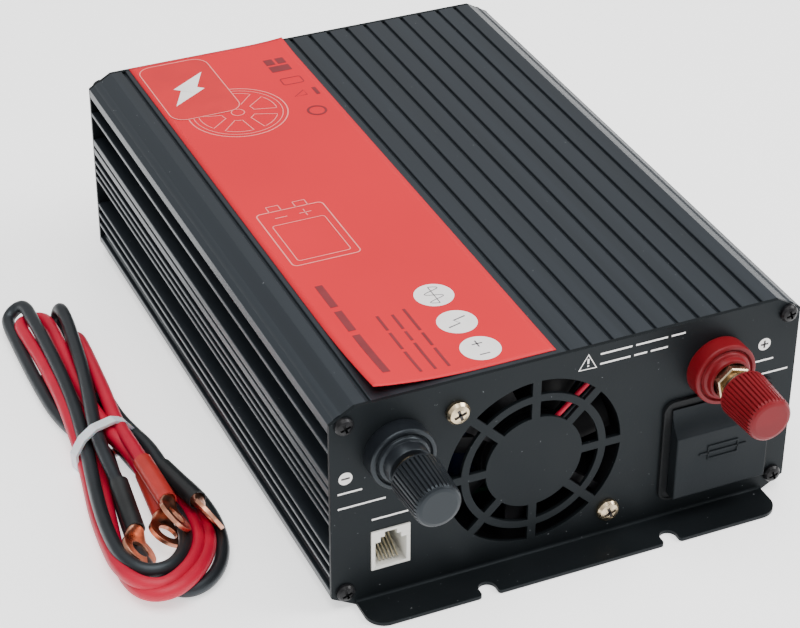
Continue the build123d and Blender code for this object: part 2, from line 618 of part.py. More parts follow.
def cover_section(inset):
    """Side view of the fuse cover, with its scooped top, inset by a wall."""
    back = BEZEL + 0.3 - (2 if inset else 0)
    face = FUSE_PROUD - inset
    bottom, shoulder, top = FUSE_Z[0] + inset, FUSE_FACE_TOP - inset * 0.3, FUSE_Z[1] - inset * 1.2
    lip = BEZEL + 0.6 - inset * 0.4
    with BuildLine() as outline:
        Polyline((back, top), (back, bottom), (face, bottom), (face, shoulder))
        ThreePointArc((face, shoulder), ((face + lip) / 2 - 0.9, (shoulder + top) / 2 - 0.3), (lip, top))
        Line((lip, top), (back, top))
    make_face(outline.edges())


def cover_plane(x):
    return Plane(origin=(x, -HALF_L, 0), x_dir=(0, -1, 0), z_dir=(-1, 0, 0))


with BuildPart() as fuse_cover:
    with BuildSketch(cover_plane(FUSE_X[1])):
        cover_section(0)
    extrude(amount=FUSE_X[1] - FUSE_X[0])
    face_edges = [e for e in fuse_cover.part.edges()
                  if abs(e.center().Y + HALF_L + FUSE_PROUD) < 0.01]
    fillet(face_edges, 0.5)
    with BuildSketch(cover_plane(FUSE_X[1] - FUSE_WALL)):
        cover_section(FUSE_WALL)
    extrude(amount=FUSE_X[1] - FUSE_X[0] - 2 * FUSE_WALL, mode=Mode.SUBTRACT)
    skirt_x = (MOUTH_X[0] + 0.3, MOUTH_X[1] - 0.3)
    skirt_z = (MOUTH_Z[0] + 0.3, MOUTH_Z[1] - 0.3)
    block(skirt_x, (-HALF_L - 2.2, -HALF_L + 3.5), (skirt_z[0], skirt_z[0] + 1.0))
    for x0 in (skirt_x[0], skirt_x[1] - 1.0):
        block((x0, x0 + 1.0), (-HALF_L - 2.2, -HALF_L + 3.5), (skirt_z[0], skirt_z[1] - 8))
save(fuse_cover, "fuse_cover")

# ---------------------------------------------------------------- rear fittings
OUTLET_PLATE = 2.5
PIN_SPREAD = 9.5
SLEEVE_LENGTH = 11.0
OUTLET_FLOOR = OUTLET_PLATE - OUTLET_DEPTH
with BuildPart() as ac_outlet:
    with BuildSketch(rear()):
        with Locations((-OUTLET_X, OUTLET_Z)):
            RectangleRounded(50, 50, 3.5)
    extrude(amount=OUTLET_PLATE)
    plate_rim = [e for e in ac_outlet.part.edges() if abs(e.center().Y - HALF_L - OUTLET_PLATE) < 0.01]
    fillet(plate_rim, 0.8)
    with BuildSketch(rear()):
        with Locations((-OUTLET_X, OUTLET_Z)):
            Circle(22.4)
    extrude(amount=OUTLET_FLOOR - 14)
    with BuildSketch(rear(OUTLET_PLATE)):
        with Locations((-OUTLET_X, OUTLET_Z)):
            Circle(OUTLET_RECESS)
    extrude(amount=-OUTLET_DEPTH, mode=Mode.SUBTRACT)
    with BuildSketch(rear(OUTLET_FLOOR)):
        with Locations((-OUTLET_X - PIN_SPREAD, OUTLET_Z), (-OUTLET_X + PIN_SPREAD, OUTLET_Z)):
            Circle(2.6)
    extrude(amount=-1.5, mode=Mode.SUBTRACT)
    with BuildSketch(rear(OUTLET_FLOOR - 1.5)):
        with Locations((-OUTLET_X - PIN_SPREAD, OUTLET_Z), (-OUTLET_X + PIN_SPREAD, OUTLET_Z)):
            Circle(3.4)
    extrude(amount=-SLEEVE_LENGTH - 0.2, mode=Mode.SUBTRACT)
    for side in (-1, 1):
        block((OUTLET_X - 2.6, OUTLET_X + 2.6), (HALF_L + OUTLET_FLOOR, HALF_L + OUTLET_PLATE + 1),
              sorted((OUTLET_Z + side * 19.0, OUTLET_Z + side * 21.2)), mode=Mode.SUBTRACT)
save(ac_outlet, "ac_outlet")

with BuildPart() as outlet_sleeves:
    with BuildSketch(rear(OUTLET_FLOOR - 1.6)):
        with Locations((-OUTLET_X - PIN_SPREAD, OUTLET_Z), (-OUTLET_X + PIN_SPREAD, OUTLET_Z)):
            Circle(3.3)
            Circle(2.4, mode=Mode.SUBTRACT)
    extrude(amount=-SLEEVE_LENGTH)
save(outlet_sleeves, "outlet_sleeves")

with BuildPart() as outlet_earth_clips:
    for side in (-1, 1):
        with BuildSketch(Plane.YZ.offset(OUTLET_X - 2.2)):
            clip_root = OUTLET_Z + side * 20.9
            bow = OUTLET_Z + side * 17.6
            back_y, tip_y = HALF_L + OUTLET_FLOOR + 0.2, HALF_L + 0.6
            with BuildLine():
                arc = ThreePointArc((back_y, clip_root), ((back_y + tip_y) / 2, bow), (tip_y, clip_root))
                under = ThreePointArc((back_y + 1.2, clip_root), ((back_y + tip_y) / 2, bow + side * 0.8),
                                      (tip_y - 1.2, clip_root))
                Line(arc @ 0, under @ 0)
                Line(arc @ 1, under @ 1)
            make_face()
        extrude(amount=4.4)
save(outlet_earth_clips, "outlet_earth_clips")

ROCKER_PIVOT = 0.6
SWITCH_W, SWITCH_H = 21.0, 15.0
with BuildPart() as power_switch:
    with BuildSketch(rear()):
        with Locations((-SWITCH_X, SWITCH_Z)):
            RectangleRounded(SWITCH_W, SWITCH_H, 1.2)
    extrude(amount=2.0)
    with BuildSketch(rear()):
        with Locations((-SWITCH_X, SWITCH_Z)):
            Rectangle(19.2, 13.0)
    extrude(amount=-14)
    with BuildSketch(rear(2.0)):
        with Locations((-SWITCH_X, SWITCH_Z)):
            Rectangle(16.6, 11.0)
    extrude(amount=-9.0, mode=Mode.SUBTRACT)
    with BuildSketch(Plane.YZ.offset(SWITCH_X - 9.0)):
        with Locations((HALF_L + ROCKER_PIVOT, SWITCH_Z)):
            Circle(1.55)
    extrude(amount=18.0, mode=Mode.SUBTRACT)
save(power_switch, "power_switch")

with BuildPart() as switch_rocker:
    tilt = radians(ROCKER_TILT)
    lean_plane = Plane(origin=(SWITCH_X - 8.0, HALF_L + ROCKER_PIVOT, SWITCH_Z),
                       x_dir=(0, cos(tilt), sin(tilt)), z_dir=(1, 0, 0))
    with BuildSketch(lean_plane):
        Polygon((1.5, 5.0), (0.6, 0), (1.5, -5.0), (-1.6, -4.4), (-3.2, 0), (-1.6, 4.4), align=None)
    extrude(amount=16.0)
    with BuildSketch(Plane.YZ.offset(SWITCH_X - 8.8)):
        with Locations((HALF_L + ROCKER_PIVOT, SWITCH_Z)):
            Circle(1.5)
    extrude(amount=17.6)
save(switch_rocker, "switch_rocker")

with BuildPart() as usb_port:
    with BuildSketch(rear(0.3)):
        with Locations((-USB_X, USB_Z)):
            Rectangle(13.1, 5.7)
            Rectangle(12.3, 4.9, mode=Mode.SUBTRACT)
    extrude(amount=-14)
    with BuildSketch(rear(-12.5)):
        with Locations((-USB_X, USB_Z)):
            Rectangle(12.7, 5.3)
    extrude(amount=-1.2)
    block((USB_X - 5.3, USB_X + 5.3), (HALF_L - 13.0, HALF_L - 1.2), (USB_Z + 0.2, USB_Z + 2.0))
save(usb_port, "usb_port")

for name, x in zip(("power_led", "fault_led"), LED_X):
    with BuildPart() as led:
        turned([(-5.0, 0), (-5.0, 1.9), (-4.0, 1.9), (-4.0, 1.5), (0.2, 1.5), (1.0, 1.2), (1.4, 0.6), (1.5, 0)],
               x, LED_Z, facing=1)
    save(led, name)

# ---------------------------------------------------------------- boards and power parts
with BuildPart() as main_board:
    block((-BOARD_HALF_W, BOARD_HALF_W), BOARD_Y, (BOARD_Z, BOARD_TOP))
    with BuildSketch(Plane.XY.offset(BOARD_Z)):
        with Locations(*STANDOFFS):
            Circle(1.7)
    extrude(amount=BOARD, mode=Mode.SUBTRACT)
save(main_board, "main_board")

with BuildPart() as board_standoffs:
    with BuildSketch(Plane.XY.offset(PLATE_TOP)):
        with Locations(*STANDOFFS):
            RegularPolygon(2.75, 6, major_radius=False)
            Circle(1.5, mode=Mode.SUBTRACT)
    extrude(amount=BOARD_Z - PLATE_TOP)
save(board_standoffs, "board_standoffs")

with BuildPart() as board_screws:
    with BuildSketch(Plane.XY.offset(BOARD_TOP)):
        with Locations(*STANDOFFS):
            Circle(2.8)
    extrude(amount=1.8)
    with BuildSketch(Plane.XY.offset(BOARD_TOP)):
        with Locations(*STANDOFFS):
            Circle(1.4)
    extrude(amount=-6.5)
    with BuildSketch(Plane.XY.offset(BOARD_TOP + 1.8)):
        with Locations(*STANDOFFS):
            Rectangle(3.2, 0.7)
            Rectangle(0.7, 3.2)
    extrude(amount=-1.1, mode=Mode.SUBTRACT)
save(board_screws, "board_screws")

CORE_X, CORE_Y = 0.0, -5.0
CORE_W, CORE_T, CORE_H = 56.0, 22.0, 42.0
CORE_Z = BOARD_TOP + 3.0
with BuildPart() as transformer_core:
    with BuildSketch(Plane.XZ.offset(-CORE_Y + CORE_T / -2)):
        with Locations((CORE_X, CORE_Z + CORE_H / 2)):
            Rectangle(CORE_W, CORE_H)
            with Locations((-14.0, 0), (14.0, 0)):
                Rectangle(12.0, CORE_H - 18, mode=Mode.SUBTRACT)
    extrude(amount=CORE_T)
save(transformer_core, "transformer_core")

with BuildPart() as transformer_winding:
    block((CORE_X - 19.6, CORE_X + 19.6), (CORE_Y - 19, CORE_Y + 19), (CORE_Z + 9.2, CORE_Z + CORE_H - 9.2))
    edges_up = transformer_winding.part.edges().filter_by(Axis.Z)
    fillet(edges_up, 6)
    block((CORE_X - 8.2, CORE_X + 8.2), (CORE_Y - CORE_T / 2 - 0.2, CORE_Y + CORE_T / 2 + 0.2),
          (CORE_Z, CORE_Z + CORE_H), mode=Mode.SUBTRACT)
save(transformer_winding, "transformer_winding")

TOROID = (32.0, 54.0)
TOROID_Z = BOARD_TOP + 12.0
with BuildPart() as filter_core:
    with BuildSketch(Plane.XY.offset(TOROID_Z - 6)):
        with Locations(TOROID):
            Circle(16)
            Circle(9, mode=Mode.SUBTRACT)
    extrude(amount=12)
save(filter_core, "filter_core")

TURNS = 18
with BuildPart() as filter_winding:
    for k in range(TURNS):
        around = 2 * pi * k / TURNS
        outward = Vector(cos(around), sin(around), 0)
        turn_plane = Plane(origin=Vector(TOROID[0], TOROID[1], TOROID_Z) + outward * 12.5,
                           x_dir=outward, z_dir=outward.cross(Vector(0, 0, 1)))
        with BuildSketch(turn_plane.offset(-0.7)):
            RectangleRounded(10.8, 15.8, 1.6)
            RectangleRounded(7.6, 12.6, 0.6, mode=Mode.SUBTRACT)
        extrude(amount=1.4)
save(filter_winding, "filter_winding")

INPUT_CAPS = [(-38.0 + 19 * k, -70.0) for k in range(4)]
BUS_CAPS = [(-34.0, 66.0), (-4.0, 66.0)]
for name, places, radius, height in (("input_capacitors", INPUT_CAPS, 8.0, 30.0),
                                     ("bus_capacitors", BUS_CAPS, 12.5, 42.0)):
    with BuildPart() as capacitors:
        with BuildSketch(Plane.XY.offset(BOARD_TOP)):
            with Locations(*places):
                Circle(radius)
        extrude(amount=height)
        fillet(capacitors.part.edges().filter_by(GeomType.CIRCLE), 0.8)
        with BuildSketch(Plane.XY.offset(BOARD_TOP + height)):
            with Locations(*places):
                Rectangle(radius * 1.2, 0.5)
                Rectangle(0.5, radius * 1.2)
        extrude(amount=-0.4, mode=Mode.SUBTRACT)
    save(capacitors, name)

TRANSISTOR_Y = [-58 + 19 * k for k in range(4)]
with BuildPart() as power_transistors:
    for side in (-1, 1):
        tab = side * (INNER_X - 0.3)
        shift = 0 if side < 0 else 76
        for y in TRANSISTOR_Y:
            at = y + shift
            block(sorted((tab, tab - side * 4.6)), (at - 5.1, at + 5.1), (19.0, 28.6))
            block(sorted((tab, tab - side * 1.3)), (at - 5.1, at + 5.1), (28.6, 35.0))
            for leg in (-2.54, 0, 2.54):
                block(sorted((tab - side * 2.4, tab - side * 3.0)), (at + leg - 0.4, at + leg + 0.4),
                      (BOARD_TOP, 19.0))
save(power_transistors, "power_transistors")

with BuildPart() as transistor_clamps:
    for side in (-1, 1):
        face = side * (INNER_X - 5.0)
        shift = 0 if side < 0 else 76
        block(sorted((face, face - side * 1.5)), (TRANSISTOR_Y[0] + shift - 8, TRANSISTOR_Y[-1] + shift + 8),
              (20.0, 27.0))
save(transistor_clamps, "transistor_clamps")

with BuildPart() as control_board:
    block((-30, 34), (29.0, 30.4), (BOARD_TOP + 1.0, BOARD_TOP + 33.0))
    for k, (x0, tall) in enumerate(((-24, 9), (-6, 12), (12, 7), (22, 14))):
        block((x0, x0 + 9), (30.4, 32.4 + 0.4 * k), (BOARD_TOP + 8, BOARD_TOP + 8 + tall))
    for k in range(16):
        pin = -28 + 4 * k
        block((pin, pin + 0.7), (29.4, 30.1), (BOARD_TOP, BOARD_TOP + 1.0))
save(control_board, "control_board")

with BuildPart() as output_wires:
    for side in (-1, 1):
        x = OUTLET_X + side * PIN_SPREAD
        y = HALF_L + OUTLET_FLOOR - 14
        wire([(x, y - 0.1, OUTLET_Z), (x, y - 4.2, OUTLET_Z), (x, y - 4.2, BOARD_TOP + 0.02)], [2.0], 2.4)
save(output_wires, "output_wires")

# ---------------------------------------------------------------- label
with BuildPart() as top_label:
    left, right, near, far = LABEL
    with BuildSketch(Plane.XY.offset(HEIGHT)):
        Polygon((left, near + LABEL_CURL_Y), (left + LABEL_CURL_X, near), (right, near), (right, far),
                (left, far), align=None)
    extrude(amount=LABEL_FILM)
    crease = Vector(LABEL_CURL_X, -LABEL_CURL_Y, 0).normalized()
    lift = radians(LABEL_CURL_ANGLE)
    inward = Vector(crease.Y, -crease.X, 0)
    crease_plane = Plane(origin=(left, near + LABEL_CURL_Y, HEIGHT), x_dir=crease,
                         z_dir=Vector(0, 0, 1) * cos(lift) - inward * sin(lift))
    fold_length = sqrt(LABEL_CURL_X ** 2 + LABEL_CURL_Y ** 2)
    foot_x = LABEL_CURL_Y ** 2 / fold_length
    foot_y = LABEL_CURL_X * LABEL_CURL_Y / fold_length
    with BuildSketch(crease_plane):
        Polygon((0, 0.02), (fold_length, 0.02), (foot_x, -foot_y), align=None)
    extrude(amount=LABEL_FILM)
save(top_label, "top_label")

# ---------------------------------------------------------------- battery leads
# the tie round the bundle's waist, in its own plane: across the bundle, and up
TIE_X, TIE_Y = -111.3, -11.0
TIE_ACROSS = (cos(radians(TIE_TURN)), sin(radians(TIE_TURN)), 0)
TIE_ALONG = (sin(radians(TIE_TURN)), -cos(radians(TIE_TURN)), 0)
TIE_PLANE = Plane(origin=(TIE_X, TIE_Y, 0), x_dir=TIE_ACROSS, z_dir=TIE_ALONG)
TIE_OUTLINE = [(-11.5, 0.4), (-11.9, 7), (-8.5, 11.5), (-4, 13.9), (3.2, 14.1), (7, 12.2), (12.5, 4.5),
               (12, 0.4)]


def tie_ring(inset):
    """The tie's rounded outline, made smaller by an inset."""
    with BuildSketch() as ring:
        Polygon(*TIE_OUTLINE, align=None)
        fillet(ring.vertices(), 0.9)
        if inset:
            offset(amount=-inset)
    return ring.sketch


with BuildPart() as lead_tie:
    with BuildSketch(TIE_PLANE):
        add(tie_ring(0))
        add(tie_ring(TIE_BAND), mode=Mode.SUBTRACT)
    extrude(amount=TIE_WIDTH / 2, both=True)
save(lead_tie, "lead_tie")

# the folded bundle: a tall tied part and, in front of it, a low loop that the lugs lie inside
BUNDLE_OUTLINE = [(-125, 10), (-125.5, 50), (-124, 70), (-117, 80), (-108, 77), (-101, 73), (-96.5, 62),
                  (-96.5, 35), (-98.5, 8), (-99, -8), (-97, -20), (-98, -33), (-110, -36), (-122, -35),
                  (-124, -12)]
LOOP_OUTLINE = [(-89.5, -48), (-89.5, -62), (-93, -76), (-101, -86), (-112, -90), (-123, -86), (-130, -74),
                (-131, -58), (-128.5, -38), (-123.5, -16), (-110, -5), (-98, -12), (-92, -28)]
LOOP_INSIDE = [(-117, -33), (-122, -50), (-122.6, -62), (-119, -71.5), (-112, -72.5), (-106, -67),
               (-102, -57), (-101.8, -42), (-107, -33)]
BUNDLE_HEIGHT = 15.0
LOOP_HEIGHT = 4.4
with BuildPart() as lead_hank:
    with BuildSketch(Plane.XY):
        with BuildLine():
            Spline(*BUNDLE_OUTLINE, periodic=True)
        make_face()
    extrude(amount=BUNDLE_HEIGHT)
    fillet(lead_hank.part.faces().sort_by(Axis.Z)[-1].edges(), 2.5)
    with BuildSketch(Plane.XY):
        with BuildLine():
            Spline(*LOOP_OUTLINE, periodic=True)
        make_face()
    extrude(amount=LOOP_HEIGHT)
    with BuildSketch(Plane.XY):
        with BuildLine():
            Spline(*LOOP_INSIDE, periodic=True)
        make_face()
    extrude(amount=BUNDLE_HEIGHT, mode=Mode.SUBTRACT)
    with BuildSketch(TIE_PLANE):
        Rectangle(80, 80)
        add(tie_ring(TIE_BAND + SLIT), mode=Mode.SUBTRACT)
    extrude(amount=TIE_WIDTH / 2 + SLIT, both=True, mode=Mode.SUBTRACT)
save(lead_hank, "lead_hank")

# each lug: centre of its ring, heading along its cable, turn of its palm about that, barrel's seat on the palm
LUGS = {"black": [((-118.5, -64.5, 5.2), (0.093, 0.991, 0.089), -43.0, 1.2),
                  ((-95.8, -62.4, 9.9), (-0.177, 0.98, -0.05), -62.0, 0.8)],
        "red": [((-108.25, -59.8, 4.8), (0.08, 0.997, 0.0), -33.0, 1.0),
                ((-105.9, -61.5, 11.6), (-0.02, 1.0, 0.0), -52.0, 0.5)]}


def lug_plane(centre, heading, turn):
    """Plane of a ring lug: x points back along the cable and z stands square to the palm."""
    back = Vector(*heading).normalized()
    up = (Vector(0, 0, 1) - back * back.Z).normalized()
    side = up.cross(back)
    return Plane(origin=centre, x_dir=back, z_dir=up * cos(radians(turn)) + side * sin(radians(turn)))


def barrel_plane(palm, along, seat):
    """Plane square to a lug's barrel, at a distance back from the ring's centre."""
    origin = palm.origin + palm.x_dir * along + palm.z_dir * seat
    return Plane(origin=origin, x_dir=palm.z_dir, z_dir=palm.x_dir)


for colour, places in LUGS.items():
    with BuildPart() as lugs:
        for centre, heading, turn, seat in places:
            palm = lug_plane(centre, heading, turn)
            with BuildSketch(palm.offset(-LUG_SHEET / 2)):
                Circle(LUG_RING)
                Polygon((2.5, LUG_RING - 0.6), (SLEEVE_FROM, BARREL_R - 0.9), (SLEEVE_FROM + 2, BARREL_R - 0.9),
                        (SLEEVE_FROM + 2, 0.9 - BARREL_R), (SLEEVE_FROM, 0.9 - BARREL_R), (2.5, 0.6 - LUG_RING),
                        align=None)
                Circle(LUG_HOLE, mode=Mode.SUBTRACT)
            extrude(amount=LUG_SHEET)
            with BuildSketch(barrel_plane(palm, SLEEVE_FROM + 1.5, seat)):
                Circle(BARREL_R)
            extrude(amount=BARREL_TO - SLEEVE_FROM - 1.5)
    save(lugs, f"{colour}_lugs")

    with BuildPart() as sleeves:
        for centre, heading, turn, seat in places:
            palm = lug_plane(centre, heading, turn)
            with BuildSketch(barrel_plane(palm, SLEEVE_FROM + 0.2, seat)):
                Circle(SLEEVE_D / 2)
                Circle(BARREL_R + 0.05, mode=Mode.SUBTRACT)
            extrude(amount=SLEEVE_TO - SLEEVE_FROM)
    save(sleeves, f"{colour}_sleeves")
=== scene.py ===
"""Looks for the power inverter with its pair of battery leads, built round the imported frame."""
import json
from math import atan2, cos, pi, radians, sin

import bmesh
import bpy
from mathutils import Matrix, Vector


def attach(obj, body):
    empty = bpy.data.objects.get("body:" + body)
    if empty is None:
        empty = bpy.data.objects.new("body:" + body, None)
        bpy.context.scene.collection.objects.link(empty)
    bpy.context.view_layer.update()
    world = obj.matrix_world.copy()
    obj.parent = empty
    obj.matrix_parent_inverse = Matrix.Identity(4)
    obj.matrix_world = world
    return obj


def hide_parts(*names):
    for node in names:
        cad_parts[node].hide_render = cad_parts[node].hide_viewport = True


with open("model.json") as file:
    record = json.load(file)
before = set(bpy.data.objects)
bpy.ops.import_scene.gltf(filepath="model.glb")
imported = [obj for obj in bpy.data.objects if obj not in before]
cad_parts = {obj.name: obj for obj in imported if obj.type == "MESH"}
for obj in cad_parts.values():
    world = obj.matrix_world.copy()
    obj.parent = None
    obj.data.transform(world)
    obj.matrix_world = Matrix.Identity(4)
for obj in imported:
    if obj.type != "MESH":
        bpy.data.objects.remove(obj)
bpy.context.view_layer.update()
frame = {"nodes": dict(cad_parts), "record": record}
MM = 0.001


def mm(x, y, z):
    return Vector((x * MM, y * MM, z * MM))


# ---------------------------------------------------------------- camera, floor and lights
CAMERA_AT = mm(-273.0, -598.2, 450.3)
CAMERA_TURN, CAMERA_TILT, CAMERA_ROLL = -24.037, 33.311, 0.25

camera = bpy.data.objects.new("camera", bpy.data.cameras.new("camera"))
camera.data.lens = 107.9
camera.data.sensor_width = 36.0
camera.data.clip_start = 0.01
camera.matrix_world = (Matrix.Translation(CAMERA_AT)
                       @ Matrix.Rotation(radians(CAMERA_TURN), 4, "Z")
                       @ Matrix.Rotation(radians(90 - CAMERA_TILT), 4, "X")
                       @ Matrix.Rotation(radians(CAMERA_ROLL), 4, "Z"))
bpy.context.collection.objects.link(camera)
bpy.context.scene.camera = camera


def area_light(name, place, aim, size, power, colour=(1, 1, 1)):
    lamp = bpy.data.lights.new(name, "AREA")
    lamp.shape = "RECTANGLE"
    lamp.size, lamp.size_y = size
    lamp.energy = power
    lamp.color = colour
    piece = bpy.data.objects.new(name, lamp)
    piece.location = place
    piece.rotation_euler = (Vector(aim) - Vector(place)).to_track_quat("-Z", "Y").to_euler()
    bpy.context.collection.objects.link(piece)


# places and sizes of the lights are in metres
MIDDLE = (-0.02, 0, 0.03)
WORLD_STRENGTH = 0.56
area_light("key", (1.2, -0.5, 1.1), MIDDLE, (0.8, 0.8), 24)
area_light("front_fill", (-0.5, -1.3, 0.8), MIDDLE, (1.4, 1.0), 2)
area_light("overhead", (-0.2, -0.2, 1.7), MIDDLE, (1.5, 1.5), 34)

world = bpy.data.worlds.new("studio")
bpy.context.scene.world = world
world.use_nodes = True
world.node_tree.nodes["Background"].inputs["Color"].default_value = (1, 1, 1, 1)
world.node_tree.nodes["Background"].inputs["Strength"].default_value = WORLD_STRENGTH


# ---------------------------------------------------------------- materials
def toned(colour, factor):
    return tuple(min(1.0, c * factor) for c in colour) + (1.0,)


class Finish:
    """A procedural material: a tone that varies, a roughness that varies and a fine relief."""

    def __init__(self, name, colour, rough, metal=0.0, vary=0.12, patch=60, stretch=(1, 1, 1)):
        self.material = bpy.data.materials.new(name)
        self.material.use_nodes = True
        self.nodes = self.material.node_tree.nodes
        self.links = self.material.node_tree.links
        self.shader = self.nodes["Principled BSDF"]
        self.set("Metallic", metal)
        self.place = self.nodes.new("ShaderNodeTexCoord").outputs["Object"]
        patches = self.noise(patch, stretch, detail=4)
        self.tone = self.ramp(patches, toned(colour, 1 - vary), toned(colour, 1 + vary))
        self.links.new(self.tone, self.shader.inputs["Base Color"])
        self.links.new(self.spread(patches, rough * 0.85, rough * 1.15), self.shader.inputs["Roughness"])
        self.normal = None

    def set(self, socket, value):
        self.shader.inputs[socket].default_value = value
        return self

    def noise(self, scale, stretch=(1, 1, 1), detail=3):
        mapping = self.nodes.new("ShaderNodeMapping")
        mapping.inputs["Scale"].default_value = stretch
        self.links.new(self.place, mapping.inputs["Vector"])
        noise = self.nodes.new("ShaderNodeTexNoise")
        noise.inputs["Scale"].default_value = scale
        noise.inputs["Detail"].default_value = detail
        self.links.new(mapping.outputs["Vector"], noise.inputs["Vector"])
        return noise.outputs["Fac"]

    def ramp(self, value, low, high):
        ramp = self.nodes.new("ShaderNodeValToRGB")
        ramp.color_ramp.elements[0].position, ramp.color_ramp.elements[1].position = 0.35, 0.65
        ramp.color_ramp.elements[0].color, ramp.color_ramp.elements[1].color = low, high
        self.links.new(value, ramp.inputs["Fac"])
        return ramp.outputs["Color"]

    def spread(self, value, low, high):
        spread = self.nodes.new("ShaderNodeMapRange")
        spread.inputs["From Min"].default_value, spread.inputs["From Max"].default_value = 0.3, 0.7
        spread.inputs["To Min"].default_value, spread.inputs["To Max"].default_value = low, high
        self.links.new(value, spread.inputs["Value"])
        return spread.outputs["Result"]

    def relief(self, scale, depth, stretch=(1, 1, 1), detail=3):
        """Adds a layer of bumps, depth given in millimetres."""
        bump = self.nodes.new("ShaderNodeBump")
        bump.inputs["Distance"].default_value = depth * MM
        self.links.new(self.noise(scale, stretch, detail), bump.inputs["Height"])
        if self.normal:
            self.links.new(self.normal, bump.inputs["Normal"])
        self.normal = bump.outputs["Normal"]
        self.links.new(self.normal, self.shader.inputs["Normal"])
        return self

    def soft_edges(self, radius):
        """Edges catch the light as if rounded by this many millimetres. Called before any relief."""
        bevel = self.nodes.new("ShaderNodeBevel")
        bevel.samples = 4
        bevel.inputs["Radius"].default_value = radius * MM
        self.normal = bevel.outputs["Normal"]
        self.links.new(self.normal, self.shader.inputs["Normal"])
        return self

    def speckle(self, scale, colour, amount):
        """Scattered fine specks of another colour, such as dust or worn grains."""
        mask = self.ramp(self.noise(scale, detail=2), (0, 0, 0, 1), (1, 1, 1, 1))
        ramp = mask.node.color_ramp
        ramp.elements[0].position, ramp.elements[1].position = 1 - amount, min(1.0, 1.04 - amount)
        mix = self.nodes.new("ShaderNodeMix")
        mix.data_type = "RGBA"
        self.links.new(mask, mix.inputs["Factor"])
        self.links.new(self.tone, mix.inputs["A"])
        mix.inputs["B"].default_value = toned(colour, 1)
        self.tone = mix.outputs["Result"]
        self.links.new(self.tone, self.shader.inputs["Base Color"])
        return self


